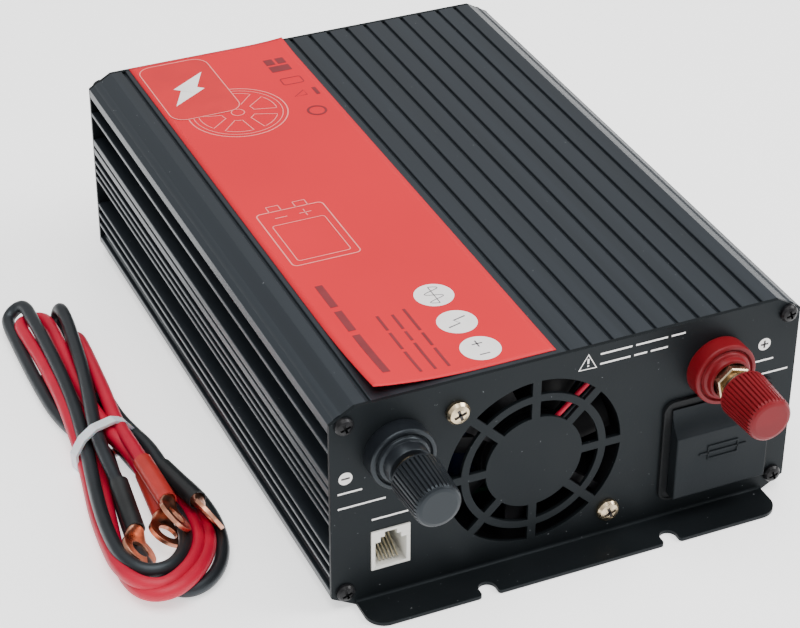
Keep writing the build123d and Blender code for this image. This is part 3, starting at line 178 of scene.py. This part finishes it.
ALONG_CASE = (1, 0.02, 1)
COOL = (0.8, 0.92, 1.0, 1)
DUST, DUST_SCALE, DUST_AMOUNT = (0.16, 0.17, 0.18), 900, 0.25
finishes = {
    "case_aluminium": Finish("case_aluminium", (0.014, 0.017, 0.021), 0.36, 0, 0.12, 260, ALONG_CASE)
    .set("Specular Tint", COOL).set("Specular IOR Level", 0.48).soft_edges(0.25)
    .speckle(DUST_SCALE, DUST, DUST_AMOUNT).relief(900, 0.012, ALONG_CASE),
    "plate_aluminium": Finish("plate_aluminium", (0.6, 0.61, 0.63), 0.4, 1.0, 0.06, 90, (0.05, 1, 1))
    .soft_edges(0.2).relief(700, 0.01, (0.04, 1, 1)),
    "panel_steel": Finish("panel_steel", (0.0055, 0.0068, 0.0078), 0.46, 0, 0.08, 40)
    .set("Specular Tint", COOL).set("Specular IOR Level", 0.15)
    .soft_edges(0.25).speckle(DUST_SCALE, DUST, DUST_AMOUNT).relief(1500, 0.02),
    "black_screws": Finish("black_screws", (0.007, 0.007, 0.008), 0.36, 0, 0.25, 300)
    .set("Specular IOR Level", 0.22).soft_edges(0.15).speckle(700, (0.12, 0.12, 0.12), 0.3),
    "fan_plastic": Finish("fan_plastic", (0.005, 0.005, 0.006), 0.5, 0, 0.2, 120)
    .set("Specular IOR Level", 0.16).soft_edges(0.2).relief(900, 0.02),
    "zinc_steel": Finish("zinc_steel", (0.62, 0.50, 0.33), 0.27, 1.0, 0.12, 200)
    .soft_edges(0.15).relief(500, 0.012),
    "red_insulation": Finish("red_insulation", (0.46, 0.004, 0.03), 0.42, 0, 0.1, 70)
    .set("Specular IOR Level", 0.35).relief(350, 0.05),
    "black_insulation": Finish("black_insulation", (0.012, 0.013, 0.015), 0.42, 0, 0.15, 70)
    .set("Specular Tint", COOL).relief(350, 0.05),
    "black_terminal_plastic": Finish("black_terminal_plastic", (0.008, 0.0095, 0.012), 0.34, 0, 0.15, 90)
    .set("Specular Tint", COOL).set("Specular IOR Level", 0.32).soft_edges(0.3).relief(800, 0.02),
    "red_terminal_plastic": Finish("red_terminal_plastic", (0.15, 0.0045, 0.008), 0.36, 0, 0.1, 90)
    .set("Specular IOR Level", 0.2).soft_edges(0.3).relief(800, 0.02),
    "brass": Finish("brass", (0.46, 0.33, 0.2), 0.3, 1.0, 0.12, 150).soft_edges(0.15).relief(600, 0.012),
    "insulator_plastic": Finish("insulator_plastic", (0.02, 0.02, 0.021), 0.5, 0, 0.15, 100)
    .relief(800, 0.02),
    "copper": Finish("copper", (0.68, 0.31, 0.20), 0.3, 1.0, 0.16, 220)
    .soft_edges(0.3).relief(420, 0.03),
    "white_plastic": Finish("white_plastic", (0.72, 0.71, 0.66), 0.38, 0, 0.03, 80)
    .soft_edges(0.3).relief(900, 0.015),
    "gold_contacts": Finish("gold_contacts", (0.62, 0.55, 0.40), 0.3, 1.0, 0.08, 200).relief(500, 0.01),
    "black_plastic": Finish("black_plastic", (0.007, 0.008, 0.009), 0.55, 0, 0.18, 110)
    .set("Specular IOR Level", 0.15).soft_edges(0.25).relief(1100, 0.02),
    "cover_plastic": Finish("cover_plastic", (0.0075, 0.009, 0.0105), 0.55, 0, 0.08, 60)
    .set("Specular Tint", COOL).set("Specular IOR Level", 0.15).soft_edges(0.35).relief(1200, 0.03),
    "fuse_plastic": Finish("fuse_plastic", (0.75, 0.42, 0.05), 0.25, 0, 0.08, 120).relief(700, 0.01),
    "earth_spring": Finish("earth_spring", (0.6, 0.6, 0.58), 0.34, 1.0, 0.1, 160, (1, 0.1, 1))
    .relief(500, 0.012),
    "rocker_plastic": Finish("rocker_plastic", (0.4, 0.012, 0.012), 0.22, 0, 0.06, 90)
    .set("Coat Weight", 0.4).soft_edges(0.3).relief(600, 0.01),
    "green_lens": Finish("green_lens", (0.05, 0.42, 0.12), 0.16, 0, 0.1, 120)
    .set("Coat Weight", 0.6).relief(300, 0.01),
    "red_lens": Finish("red_lens", (0.5, 0.04, 0.03), 0.16, 0, 0.1, 120)
    .set("Coat Weight", 0.6).relief(300, 0.01),
    "circuit_board": Finish("circuit_board", (0.006, 0.045, 0.02), 0.3, 0, 0.2, 130)
    .speckle(500, (0.6, 0.55, 0.4), 0.36).relief(900, 0.02),
    "ferrite": Finish("ferrite", (0.03, 0.03, 0.033), 0.5, 0.2, 0.2, 150).relief(700, 0.03),
    "winding_tape": Finish("winding_tape", (0.75, 0.50, 0.06), 0.3, 0, 0.1, 60, (1, 1, 6))
    .relief(400, 0.03, (1, 1, 8)),
    "capacitor_sleeve": Finish("capacitor_sleeve", (0.01, 0.015, 0.06), 0.25, 0, 0.15, 80)
    .relief(500, 0.015),
    "label_film": Finish("label_film", (0.62, 0.009, 0.022), 0.45, 0, 0.03, 16)
    .set("Specular IOR Level", 0.25).relief(45, 0.06, (1, 0.6, 1)),
    "black_sleeve": Finish("black_sleeve", (0.01, 0.0115, 0.0125), 0.42, 0, 0.14, 120).relief(260, 0.12),
    "red_sleeve": Finish("red_sleeve", (0.42, 0.024, 0.018), 0.42, 0, 0.1, 120).relief(260, 0.12),
    "tie_plastic": Finish("tie_plastic", (0.70, 0.74, 0.78), 0.36, 0, 0.05, 150)
    .set("Subsurface Weight", 0.3).set("Subsurface Scale", 0.002).soft_edges(0.3).relief(500, 0.03),
}
white_ink = Finish("white_ink", (0.86, 0.84, 0.82), 0.5, 0, 0.03, 120).relief(1400, 0.01).material
# this dark ink prints the pole signs and also paints shade into the fan screws' cross recesses
dark_ink_and_painted_shade = Finish("dark_ink_and_painted_shade", (0.02, 0.015, 0.016), 0.5, 0, 0.08, 120).relief(1400, 0.01).material
grey_ink = Finish("grey_ink", (0.12, 0.11, 0.12), 0.5, 0, 0.08, 120).relief(1400, 0.01).material
pink_ink = Finish("pink_ink", (0.80, 0.22, 0.20), 0.5, 0, 0.05, 120).relief(1400, 0.01).material
maroon_ink = Finish("maroon_ink", (0.17, 0.014, 0.02), 0.5, 0, 0.1, 120).relief(1400, 0.01).material
badge_ink = Finish("badge_ink", (0.56, 0.006, 0.014), 0.42, 0, 0.05, 90).relief(1400, 0.01).material
floor_paint = (Finish("floor_paint", (0.92, 0.92, 0.92), 0.7, 0, 0.004, 3)
               .set("Emission Color", (1, 1, 1, 1)).set("Emission Strength", 1.0).material)

for part in frame["record"]["subparts"]:
    for slot in frame["nodes"][part["node"]].material_slots:
        slot.material = finishes[part["material_slot"]].material


def mesh_piece(name, shape, material, smooth=False):
    """Turns a bmesh into a piece of the model."""
    mesh = bpy.data.meshes.new(name)
    shape.to_mesh(mesh)
    shape.free()
    for face in mesh.polygons:
        face.use_smooth = smooth
    mesh.materials.append(material)
    piece = bpy.data.objects.new(name, mesh)
    bpy.context.collection.objects.link(piece)
    return piece


def band(shape, first, second):
    """Joins two loops of as many points with a ring of faces."""
    for k in range(len(first)):
        onward = (k + 1) % len(first)
        shape.faces.new((first[k], first[onward], second[onward], second[k]))


# the floor, in metres, a hair below the object's feet
FLOOR_HALF, FLOOR_GAP = 6.0, 0.0002
sheet = bmesh.new()
bmesh.ops.create_grid(sheet, x_segments=8, y_segments=8, size=FLOOR_HALF)
floor = mesh_piece("floor", sheet, floor_paint)
floor.location.z = -FLOOR_GAP


# ---------------------------------------------------------------- battery leads
CABLE_D = 4.4
# routes in millimetres: out of one lug's sleeve, through three top folds and two bottom loops, to the other
BLACK_ROUTE = [
    (-116.3, -49.3, 7.5), (-115.7, -42.5, 8.1), (-115.2, -34, 8.8), (-115, -23, 9.9),
    (-114.2, -11.5, 10.7), (-111.8, 1, 10.8), (-108.9, 15, 10.5), (-106.4, 29, 10), (-104.4, 44, 9.4),
    (-102.9, 55, 9), (-102.5, 63.8, 9), (-103, 65.8, 7.1), (-103.8, 65.8, 4.3), (-104.4, 63.8, 2.4),
    (-106.2, 52, 2.3), (-107.6, 36, 2.3), (-107.6, 18, 2.3), (-107.2, 2, 2.3), (-106.6, -9.8, 2.3),
    (-105, -21, 2.3), (-103, -33, 2.3), (-101.8, -44, 2.8), (-102, -55, 4.3), (-104, -65.5, 5.6),
    (-108, -73, 6.3), (-114, -77.8, 6.8), (-121, -76.4, 6.8), (-125, -67.8, 6.8), (-124.9, -55, 6.8),
    (-123.3, -41, 6.8), (-120.8, -27, 6.8), (-118, -12.6, 6.8), (-115.9, 2, 7.6), (-114.2, 18, 8),
    (-113.3, 34, 8), (-112.9, 50, 8), (-112.8, 63, 8), (-112.8, 71.4, 8), (-114.8, 73.8, 6.6),
    (-117.5, 73.8, 4.6), (-119.5, 71.4, 3.2), (-119.9, 58, 3), (-120.2, 44, 2.7), (-120.2, 30, 2.5),
    (-119.8, 16, 2.4), (-117.6, 4, 2.3), (-113.6, -3, 2.3), (-111.2, -11, 2.3), (-112.6, -22, 2.3),
    (-115, -35, 2.3), (-117, -49, 2.3), (-118.2, -62, 2.3), (-117.6, -75, 2.3), (-112.6, -84.4, 2.3),
    (-104.6, -84, 2.3), (-97, -76.4, 2.3), (-92.8, -65, 2.3), (-91.8, -52, 2.3), (-93.4, -39, 2.5),
    (-98, -27, 3), (-102.4, -17, 4), (-106, -8.6, 4.4), (-108.2, 1, 4.4), (-108.6, 11.4, 4.4),
    (-107.2, 13, 5.1), (-105.3, 13, 6.1), (-103.9, 11.4, 6.8), (-103.6, 1, 6.2), (-101.8, -9, 6),
    (-100.4, -18, 7.2), (-100.2, -27, 8.3), (-100.3, -33.7, 8.8), (-97.9, -47, 9.5)]
RED_ROUTE = [
    (-106.5, -44.4, 5.6), (-105.9, -37.6, 5.6), (-105.8, -29, 6.4), (-107.4, -20, 8.6),
    (-109.8, -10.8, 10.2), (-109.8, -1, 8.8), (-109.8, 10, 6.6), (-109.4, 22, 5.8), (-108.6, 34, 5.4),
    (-107.9, 48, 5.8), (-107.6, 60, 5.8), (-108.2, 66.6, 5), (-112.6, 69, 3.8), (-116.9, 66, 4.8),
    (-116.8, 56, 5.6), (-116.2, 42, 5.4), (-116.6, 28, 5.8), (-117.2, 14, 6.2), (-118.4, 0, 5.6),
    (-119.4, -12.8, 3.2), (-121.6, -26, 2.4), (-124.4, -41, 2.6), (-126, -56, 3.4), (-126.9, -70, 5.2),
    (-123.8, -80.3, 6.3), (-117.4, -84.4, 6.4), (-109, -79.6, 6.2), (-102.6, -71.8, 5.6),
    (-99, -62, 4.5), (-97.9, -51.4, 3.4), (-99.4, -41, 4), (-102.4, -29, 5.4), (-105.8, -19, 6.4),
    (-108.8, -10.2, 6.4), (-110.6, 0, 5), (-111, 12, 2.9), (-110.6, 26, 2.3), (-110.3, 36.2, 2.3),
    (-112.1, 38, 2.3), (-114.7, 38, 2.3), (-116.5, 36.2, 2.3), (-116.2, 26, 2.4), (-115.4, 12, 3.8),
    (-114.6, 0, 5.2), (-115.4, -12, 2.6), (-117.4, -25, 2.3), (-119.8, -38, 2.3), (-122, -50, 2.3),
    (-124.2, -62, 2.3), (-125.4, -73, 2.4), (-122.9, -83.2, 3.9), (-116.4, -87.2, 5.6),
    (-108.4, -83.4, 5.8), (-101.6, -76, 5.2), (-97.2, -67, 4.3), (-95.8, -57, 3.4), (-96.2, -45, 2.5),
    (-98.6, -32, 2.3), (-101.2, -20, 2.3), (-102.8, -8.6, 2.3), (-103.2, 4, 2.3), (-103.2, 18, 2.3),
    (-103.6, 32, 2.3), (-104.1, 48.8, 2.3), (-103.2, 50.3, 3.4), (-102, 50.3, 4.9), (-101.2, 48.8, 6),
    (-102, 36, 6.8), (-103.1, 25, 8.1), (-104.3, 12, 9.4), (-105.4, 2, 10), (-106.3, -8, 10.4),
    (-106.4, -19, 11.4), (-106.1, -32.5, 11.9), (-105.8, -46, 11.9)]


def cable(name, route, material):
    curve = bpy.data.curves.new(name, "CURVE")
    curve.dimensions = "3D"
    curve.bevel_depth = CABLE_D / 2 * MM
    curve.bevel_resolution = 6
    curve.resolution_u = 10
    curve.use_fill_caps = True
    spline = curve.splines.new("NURBS")
    spline.points.add(len(route) - 1)
    for point, place in zip(spline.points, route):
        point.co = (*mm(*place), 1)
    spline.order_u = 3
    spline.use_endpoint_u = True
    curve.materials.append(material)
    piece = bpy.data.objects.new(name, curve)
    bpy.context.collection.objects.link(piece)
    return piece


# each lug: centre of its ring, heading along its cable, turn of its palm about that heading in degrees,
# and how far its barrel sits above its palm
LUGS = {"black": [((-118.5, -64.5, 5.2), (0.093, 0.991, 0.089), -43.0, 1.2),
                  ((-95.8, -62.4, 9.9), (-0.177, 0.98, -0.05), -62.0, 0.8)],
        "red": [((-108.25, -59.8, 4.8), (0.08, 0.997, 0.0), -33.0, 1.0),
                ((-105.9, -61.5, 11.6), (-0.02, 1.0, 0.0), -52.0, 0.5)]}
# a lug's neck, where its tube is pressed flat: distance behind the ring's centre, half width, half height,
# and the share of the barrel's seat that it has risen by
NECK = [(3.3, 4.9, 0.63, 0.0), (3.6, 4.75, 0.7, 0.0), (4.6, 4.3, 0.78, 0.05), (5.6, 3.9, 0.95, 0.2),
        (6.4, 3.5, 1.3, 0.45), (7.2, 3.1, 1.75, 0.75), (7.9, 2.8, 2.15, 0.9), (9.0, 2.6, 2.45, 1.0),
        (12.0, 2.5, 2.5, 1.0)]
NECK_SIDES, FLATTEST = 28, 0.55


def lug_necks(colour):
    """The pressed necks between the rings and the sleeves of one colour's two lugs.

    Each loop of points is an ellipse at power 1, and squarer at the sides where the neck is flatter.
    """
    shape = bmesh.new()
    for centre, heading, turn, seat in LUGS[colour]:
        back = Vector(heading).normalized()
        up = (Vector((0, 0, 1)) - back * back.z).normalized()
        normal = up * cos(radians(turn)) + up.cross(back) * sin(radians(turn))
        across = normal.cross(back)
        loops = []
        for along, wide, high, lift in NECK:
            middle = Vector(centre) + back * along + normal * seat * lift
            power = FLATTEST + (1 - FLATTEST) * min(1.0, high / wide)
            loop = []
            for k in range(NECK_SIDES):
                side, rise = cos(2 * pi * k / NECK_SIDES), sin(2 * pi * k / NECK_SIDES)
                sideways = across * wide * abs(side) ** power * (1 if side > 0 else -1)
                upwards = normal * high * abs(rise) ** power * (1 if rise > 0 else -1)
                loop.append(shape.verts.new(mm(*(middle + sideways + upwards))))
            loops.append(loop)
        for first, second in zip(loops, loops[1:]):
            band(shape, first, second)
        shape.faces.new(loops[0])
        shape.faces.new(loops[-1])
    bmesh.ops.recalc_face_normals(shape, faces=shape.faces)
    necks = mesh_piece(f"{colour}_lug_necks", shape, finishes["copper"].material, smooth=True)
    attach(necks, "battery_leads")
    return necks


nodes = frame["nodes"]
black_necks, red_necks = lug_necks("black"), lug_necks("red")
black_cable = cable("black_cable", BLACK_ROUTE, finishes["black_insulation"].material)
red_cable = cable("red_cable", RED_ROUTE, finishes["red_insulation"].material)
for piece, route, length, slot_name, ends in (
        (black_cable, BLACK_ROUTE, 0.765, "black_insulation",
         [nodes["black_lugs"], nodes["black_sleeves"], black_necks]),
        (red_cable, RED_ROUTE, 0.785, "red_insulation",
         [nodes["red_lugs"], nodes["red_sleeves"], nodes["lead_tie"], red_necks])):
    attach(piece, "battery_leads")
    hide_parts("lead_hank")


# ---------------------------------------------------------------- label on the case
LABEL_LEFT, LABEL_RIGHT, LABEL_NEAR, LABEL_FAR = -60.6, -4.4, -104.3, 106.6
LABEL_TOP, LABEL_FILM, FILM_CELL = 70.25, 0.22, 2.0
# how far along, how far across and how high the near left corner curls up, and then the far right one
CURL_X, CURL_Y, CURL_RISE = 34.0, 42.0, 3.1
LIFT_X, LIFT_Y, LIFT_RISE = 14.0, 16.0, 0.7


def label_height(x, y):
    """Height of the label's upper face: flat, with its near left and far right corners curling up."""
    near_left = 1 - (x - LABEL_LEFT) / CURL_X - (y - LABEL_NEAR) / CURL_Y
    far_right = 1 - (LABEL_RIGHT - x) / LIFT_X - (LABEL_FAR - y) / LIFT_Y
    return LABEL_TOP + CURL_RISE * max(0.0, near_left) ** 2 + LIFT_RISE * max(0.0, far_right) ** 2


columns = round((LABEL_RIGHT - LABEL_LEFT) / FILM_CELL)
rows = round((LABEL_FAR - LABEL_NEAR) / FILM_CELL)
film = bmesh.new()
grid = []
for j in range(rows + 1):
    y = LABEL_NEAR + (LABEL_FAR - LABEL_NEAR) * j / rows
    line = []
    for i in range(columns + 1):
        x = LABEL_LEFT + (LABEL_RIGHT - LABEL_LEFT) * i / columns
        line.append(film.verts.new(mm(x, y, label_height(x, y))))
    grid.append(line)
for j in range(rows):
    for i in range(columns):
        film.faces.new((grid[j][i], grid[j][i + 1], grid[j + 1][i + 1], grid[j + 1][i]))
label = mesh_piece("label_sheet", film, finishes["label_film"].material, smooth=True)
thickness = label.modifiers.new("thickness", "SOLIDIFY")
thickness.thickness = LABEL_FILM * MM
thickness.offset = -1
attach(label, "case")
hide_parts("top_label")


def arc(centre, radius, start=0, end=360, count=48):
    """Points round a circle, from start to end in degrees."""
    turns = [radians(start + (end - start) * k / count) for k in range(count + 1)]
    return [(centre[0] + radius * cos(turn), centre[1] + radius * sin(turn)) for turn in turns]


def stroke(points, width, closed=False):
    """A band of even width along a line of points, as a list of four-cornered cells."""
    sides = []
    for k, point in enumerate(points):
        before = points[k - 1] if k or closed else point
        after = points[(k + 1) % len(points)] if k + 1 < len(points) or closed else point
        heading = atan2(after[1] - before[1], after[0] - before[0])
        across = (-sin(heading) * width / 2, cos(heading) * width / 2)
        sides.append(((point[0] + across[0], point[1] + across[1]),
                      (point[0] - across[0], point[1] - across[1])))
    pairs = zip(sides, sides[1:] + sides[:1]) if closed else zip(sides, sides[1:])
    return [(a[0], a[1], b[1], b[0]) for a, b in pairs]


def filled(centre, outline):
    """Three-cornered cells from a centre to each side of a closed outline."""
    return [(centre, a, b) for a, b in zip(outline, outline[1:] + outline[:1])]


def disc(centre, radius):
    return filled(centre, arc(centre, radius, 0, 360, 40)[:-1])


BAR_CELL = 3.0


def bar(left, right, low, high):
    """A filled rectangle, in cells short enough to follow the label's curl."""
    across = max(1, round((right - left) / BAR_CELL))
    up = max(1, round((high - low) / BAR_CELL))
    xs = [left + (right - left) * i / across for i in range(across + 1)]
    ys = [low + (high - low) * j / up for j in range(up + 1)]
    return [((x0, y0), (x1, y0), (x1, y1), (x0, y1))
            for x0, x1 in zip(xs, xs[1:]) for y0, y1 in zip(ys, ys[1:])]


def print_on(name, cells, place, material, body):
    """Makes a thin printed mark from flat cells; place turns a cell's corner into a point in space."""
    ink = bmesh.new()
    for cell in cells:
        ink.faces.new([ink.verts.new(place(*corner)) for corner in cell])
    bmesh.ops.remove_doubles(ink, verts=ink.verts, dist=1e-7)
    bmesh.ops.recalc_face_normals(ink, faces=ink.faces)
    piece = mesh_piece(name, ink, material)
    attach(piece, body)
    return piece


def above_label(lift):
    return lambda x, y: mm(x, y, label_height(x, y) + lift)


def rounded(left, right, low, high, radius):
    """Points round a rectangle with rounded corners."""
    corners = ((right - radius, high - radius), (left + radius, high - radius),
               (left + radius, low + radius), (right - radius, low + radius))
    points = []
    for k, corner in enumerate(corners):
        points += arc(corner, radius, 90 * k, 90 * k + 90, 6)
    return points


def words(start, lengths, gap, width, along):
    """Plain bars in a row along "x" or "y", in the place of a line of print; the first begins at start."""
    cells, x, y = [], *start
    for length in lengths:
        if along == "y":
            cells += bar(x - width / 2, x + width / 2, y, y + length)
            y += length + gap
        else:
            cells += bar(x, x + length, y - width / 2, y + width / 2)
            x += length + gap
    return cells


# how high above the label, or before the panel, each layer of print lies
INK, SECOND_INK, THIRD_INK, INK_STEP = 0.05, 0.1, 0.15, 0.04
THICK_LINE, LINE, FINE_LINE = 0.45, 0.35, 0.3

# wheel ring and battery outline, in thin pale lines
WHEEL, WHEEL_R, RIM, HUB_R = (-37.4, 62.4), 16.6, 1.6, 2.2
pale = stroke(arc(WHEEL, WHEEL_R), THICK_LINE) + stroke(arc(WHEEL, WHEEL_R - RIM), FINE_LINE)
pale += stroke(arc(WHEEL, HUB_R, 0, 360, 20), LINE)
WINDOWS, WINDOW_TURN = 6, 12
OUTER_R, OUTER_HALF, INNER_R, INNER_HALF = WHEEL_R - 3.4, 21, 5.6, 13
for k in range(WINDOWS):
    mid = 360 / WINDOWS * k + WINDOW_TURN
    window = arc(WHEEL, OUTER_R, mid - OUTER_HALF, mid + OUTER_HALF, 10)
    window += arc(WHEEL, INNER_R, mid + INNER_HALF, mid - INNER_HALF, 4)
    pale += stroke(window, LINE, closed=True)
left, right, low, high = -56.0, -34.0, -34.0, -2.0
pale += stroke(rounded(left, right, low, high, 1.6), THICK_LINE, closed=True)
pale += stroke(rounded(left + 2.4, right - 2.4, low + 2.4, high - 8, 1.0), LINE, closed=True)
for post in (left + 4.6, right - 8.6):
    pale += stroke([(post, high), (post, high + 3.2), (post + 4, high + 3.2), (post + 4, high)], THICK_LINE)
SIGN_LINE = 0.4
pale += stroke([(left + 5, high - 4), (left + 9, high - 4)], SIGN_LINE)
pale += stroke([(right - 9, high - 4), (right - 5, high - 4)], SIGN_LINE)
pale += stroke([(right - 7, high - 6), (right - 7, high - 2)], SIGN_LINE)
print_on("pale_outlines", pale, above_label(INK), pink_ink, "case")

# plain badge with a bolt, in the far left corner
BADGE, BADGE_CORNER = (-58.8, -34.6, 64.2, 104.2), 5
outline = rounded(*BADGE, BADGE_CORNER)
badge_centre = ((BADGE[0] + BADGE[1]) / 2, (BADGE[2] + BADGE[3]) / 2)
print_on("badge", filled(badge_centre, outline), above_label(SECOND_INK), badge_ink, "case")
HALF_BOLT = ((-8, -10), (5, -1.5), (-1, 3.5))
for name, turn, lift in (("badge_bolt_near", 1, THIRD_INK), ("badge_bolt_far", -1, THIRD_INK + INK_STEP)):
    half = [(badge_centre[0] + x * turn, badge_centre[1] + y * turn) for x, y in HALF_BOLT]
    print_on(name, [half], above_label(lift), white_ink, "case")
print_on("badge_rim", stroke(outline, SIGN_LINE, closed=True), above_label(THIRD_INK), pink_ink, "case")

# plain bars in the place of the printed title and its three lines
TITLE_WIDTH, TITLE_GAP, BAR_WIDTH, BAR_GAP = 2.4, 2.4, 0.9, 1.4
title = words((-53.4, -97.0), (22, 11, 12.5), TITLE_GAP, TITLE_WIDTH, "y")
for x, lengths in ((-44.1, (11.5, 9, 8)), (-39.7, (14.5, 5, 8)), (-35.5, (10, 7, 12))):
    title += words((x, -99.8), lengths, BAR_GAP, BAR_WIDTH, "y")
print_on("title_bars", title, above_label(INK), maroon_ink, "case")

# small plain marks near the far right corner
marks = bar(-16.6, -9.4, 84.0, 88.2) + bar(-16.6, -13.4, 89.4, 93.6) + bar(-12.4, -9.4, 89.4, 93.6)
marks += stroke(rounded(-16.2, -9.0, 74.0, 78.6, 0.8), LINE, closed=True)
marks += stroke([(-16.0, 65.0), (-11.6, 68.6), (-11.6, 65.0)], LINE, closed=True)
marks += bar(-8.6, -7.2, 63.8, 69.0)
marks += stroke(rounded(-15.8, -9.8, 50.4, 56.4, 3), 0.8, closed=True)
print_on("corner_marks", marks, above_label(INK), maroon_ink, "case")

# three white discs with a wave, a bolt and a plus and minus
DISCS, DISC_R = [(-24.3, -64.8), (-24.1, -80.3), (-23.7, -95.2)], 6.0
white_cells = []
for centre in DISCS:
    white_cells += disc(centre, DISC_R)
print_on("label_discs", white_cells, above_label(INK), white_ink, "case")
(wx, wy), (zx, zy), (sx, sy) = DISCS
WAVE_W, WAVE_H, WAVE_STEPS, WAVE_LINE = 9.0, 2.6, 24, 0.28
wave = [(wx - WAVE_H * sin(4 * pi * k / WAVE_STEPS), wy - WAVE_W / 2 + WAVE_W * k / WAVE_STEPS)
        for k in range(WAVE_STEPS + 1)]
signs = stroke(wave, WAVE_LINE) + stroke([(wx, wy - WAVE_W / 2), (wx, wy + WAVE_W / 2)], WAVE_LINE)
signs += stroke([(zx - 3.4, zy - 2), (zx + 0.6, zy - 1), (zx - 0.6, zy + 1), (zx + 3.4, zy + 2)], 0.5)
signs += stroke([(sx - 1.6, sy - 3), (sx + 1.6, sy - 3)], THICK_LINE)
signs += stroke([(sx - 1.6, sy + 2.4), (sx + 1.6, sy + 2.4)], THICK_LINE)
signs += stroke([(sx, sy + 0.8), (sx, sy + 4)], THICK_LINE)
print_on("disc_signs", signs, above_label(SECOND_INK), grey_ink, "case")

# ---------------------------------------------------------------- print on the front panel
PANEL_FACE = -107.0


def before_panel(gap):
    return lambda x, z: mm(x, PANEL_FACE - gap, z)


# the two pole marks, the fan's warning triangle and plain bars in the place of the lines of print
MINUS_AT, PLUS_AT, POLE_R = (-70.3, 46.4), (63.7, 55.3), 2.1
panel_ink = disc(MINUS_AT, POLE_R) + disc(PLUS_AT, POLE_R)
panel_ink += stroke([(1.8, 62.8), (7.4, 62.6), (4.7, 67.6)], 0.55, closed=True)
panel_ink += bar(4.4, 5.0, 64.5, 66.2) + bar(4.4, 5.0, 63.5, 64.0)
PANEL_GAP, PANEL_BAR = 1.2, 0.6
for start, lengths in (((-72.7, 41.4), (7.4,)), ((-72.7, 36.2), (14.6,)), ((-62.4, 29.4), (11.4,)),
                       ((60.0, 49.6), (7.2,)), ((58.4, 44.6), (14.2,)),
                       ((8.6, 66.8), (10.2, 10.4, 4.6)), ((8.6, 63.4), (9.8, 4.2, 5.6))):
    panel_ink += words(start, lengths, PANEL_GAP, PANEL_BAR, "x")
print_on("panel_marks", panel_ink, before_panel(INK), white_ink, "case")
# the minus and the plus on the pole marks
REACH, HALF_BAR = 1.3, 0.3
signs = []
for (x, z), wide, high in ((MINUS_AT, REACH, HALF_BAR), (PLUS_AT, REACH, HALF_BAR),
                           (PLUS_AT, HALF_BAR, REACH)):
    signs += bar(x - wide, x + wide, z - high, z + high)
print_on("pole_signs", signs, before_panel(INK + INK_STEP), dark_ink_and_painted_shade, "case")

# dark ink laid in the fan screws' cross recesses: painted shade, standing in for the shade in their shallow
# hollows
CROSS_OUT, CROSS_ARM, CROSS_W, CROSS_TURN = 2.1, 1.95, 0.92, 20
FAN_SCREWS = ((-36.3, 59.65), (13.7, 9.65))
painted_shade_crosses = []
for at in FAN_SCREWS:
    for turn in (CROSS_TURN, CROSS_TURN + 90):
        painted_shade_crosses += stroke(arc(at, CROSS_ARM, turn, turn + 180, 1), CROSS_W)
print_on("screw_cross_painted_shade", painted_shade_crosses, before_panel(CROSS_OUT), dark_ink_and_painted_shade, "case")

# stepped collars of the two terminals, which stand round their nuts
TERMINAL_Z, COLLAR_SIDES, COLLAR_CREASE = 52.0, 72, 38
NEG_X, POS_X, SEAT_R = -54.8, 47.8, 5.82
for name, x, rise, mouth, slot_name in (("neg_collar", NEG_X, 10.36, 3.2, "black_terminal_plastic"),
                                        ("pos_collar", POS_X, 8.2, SEAT_R, "red_terminal_plastic")):
    # each point of the profile: how far out from the panel, and its radius
    profile = [(3.5, SEAT_R), (3.5, 7.0), (5.2, 7.9), (5.9, 7.8), (6.2, 7.5), (6.4, 6.9),
               (rise - 0.5, 6.75), (rise - 0.15, 6.6), (rise, 6.3), (rise, mouth), (rise - 0.05, mouth)]
    turned = bmesh.new()
    rings = [[turned.verts.new(mm(across, PANEL_FACE - out, up))
              for across, up in arc((x, TERMINAL_Z), radius, 0, 360, COLLAR_SIDES)[:-1]]
             for out, radius in profile]
    for inner, outer in zip(rings, rings[1:] + rings[:1]):
        band(turned, inner, outer)
    bmesh.ops.recalc_face_normals(turned, faces=turned.faces)
    collar = mesh_piece(name, turned, finishes[slot_name].material, smooth=True)
    collar.data.set_sharp_from_angle(angle=radians(COLLAR_CREASE))
    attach(collar, "case")

# raised sign on the fuse cover: a box with a line through it
COVER_PROUD = 5.0
SIGN_X, SIGN_Z, SIGN_RISE, SIGN_ROOT, SIGN_STROKE = 49.2, 24.8, 0.35, 0.1, 0.7
HALF_WIDE, HALF_HIGH, HALF_WIRE = 5, 2.2, 8
emblem = stroke([(SIGN_X - HALF_WIDE, SIGN_Z - HALF_HIGH), (SIGN_X + HALF_WIDE, SIGN_Z - HALF_HIGH),
                 (SIGN_X + HALF_WIDE, SIGN_Z + HALF_HIGH), (SIGN_X - HALF_WIDE, SIGN_Z + HALF_HIGH)],
                SIGN_STROKE, closed=True)
emblem += stroke([(SIGN_X - HALF_WIRE, SIGN_Z), (SIGN_X + HALF_WIRE, SIGN_Z)], SIGN_STROKE)
cover_sign = print_on("cover_sign", emblem, before_panel(COVER_PROUD + SIGN_RISE),
                      finishes["cover_plastic"].material, "fuse_cover")
rise = cover_sign.modifiers.new("rise", "SOLIDIFY")
rise.thickness = (SIGN_RISE + SIGN_ROOT) * MM
rise.offset = -1
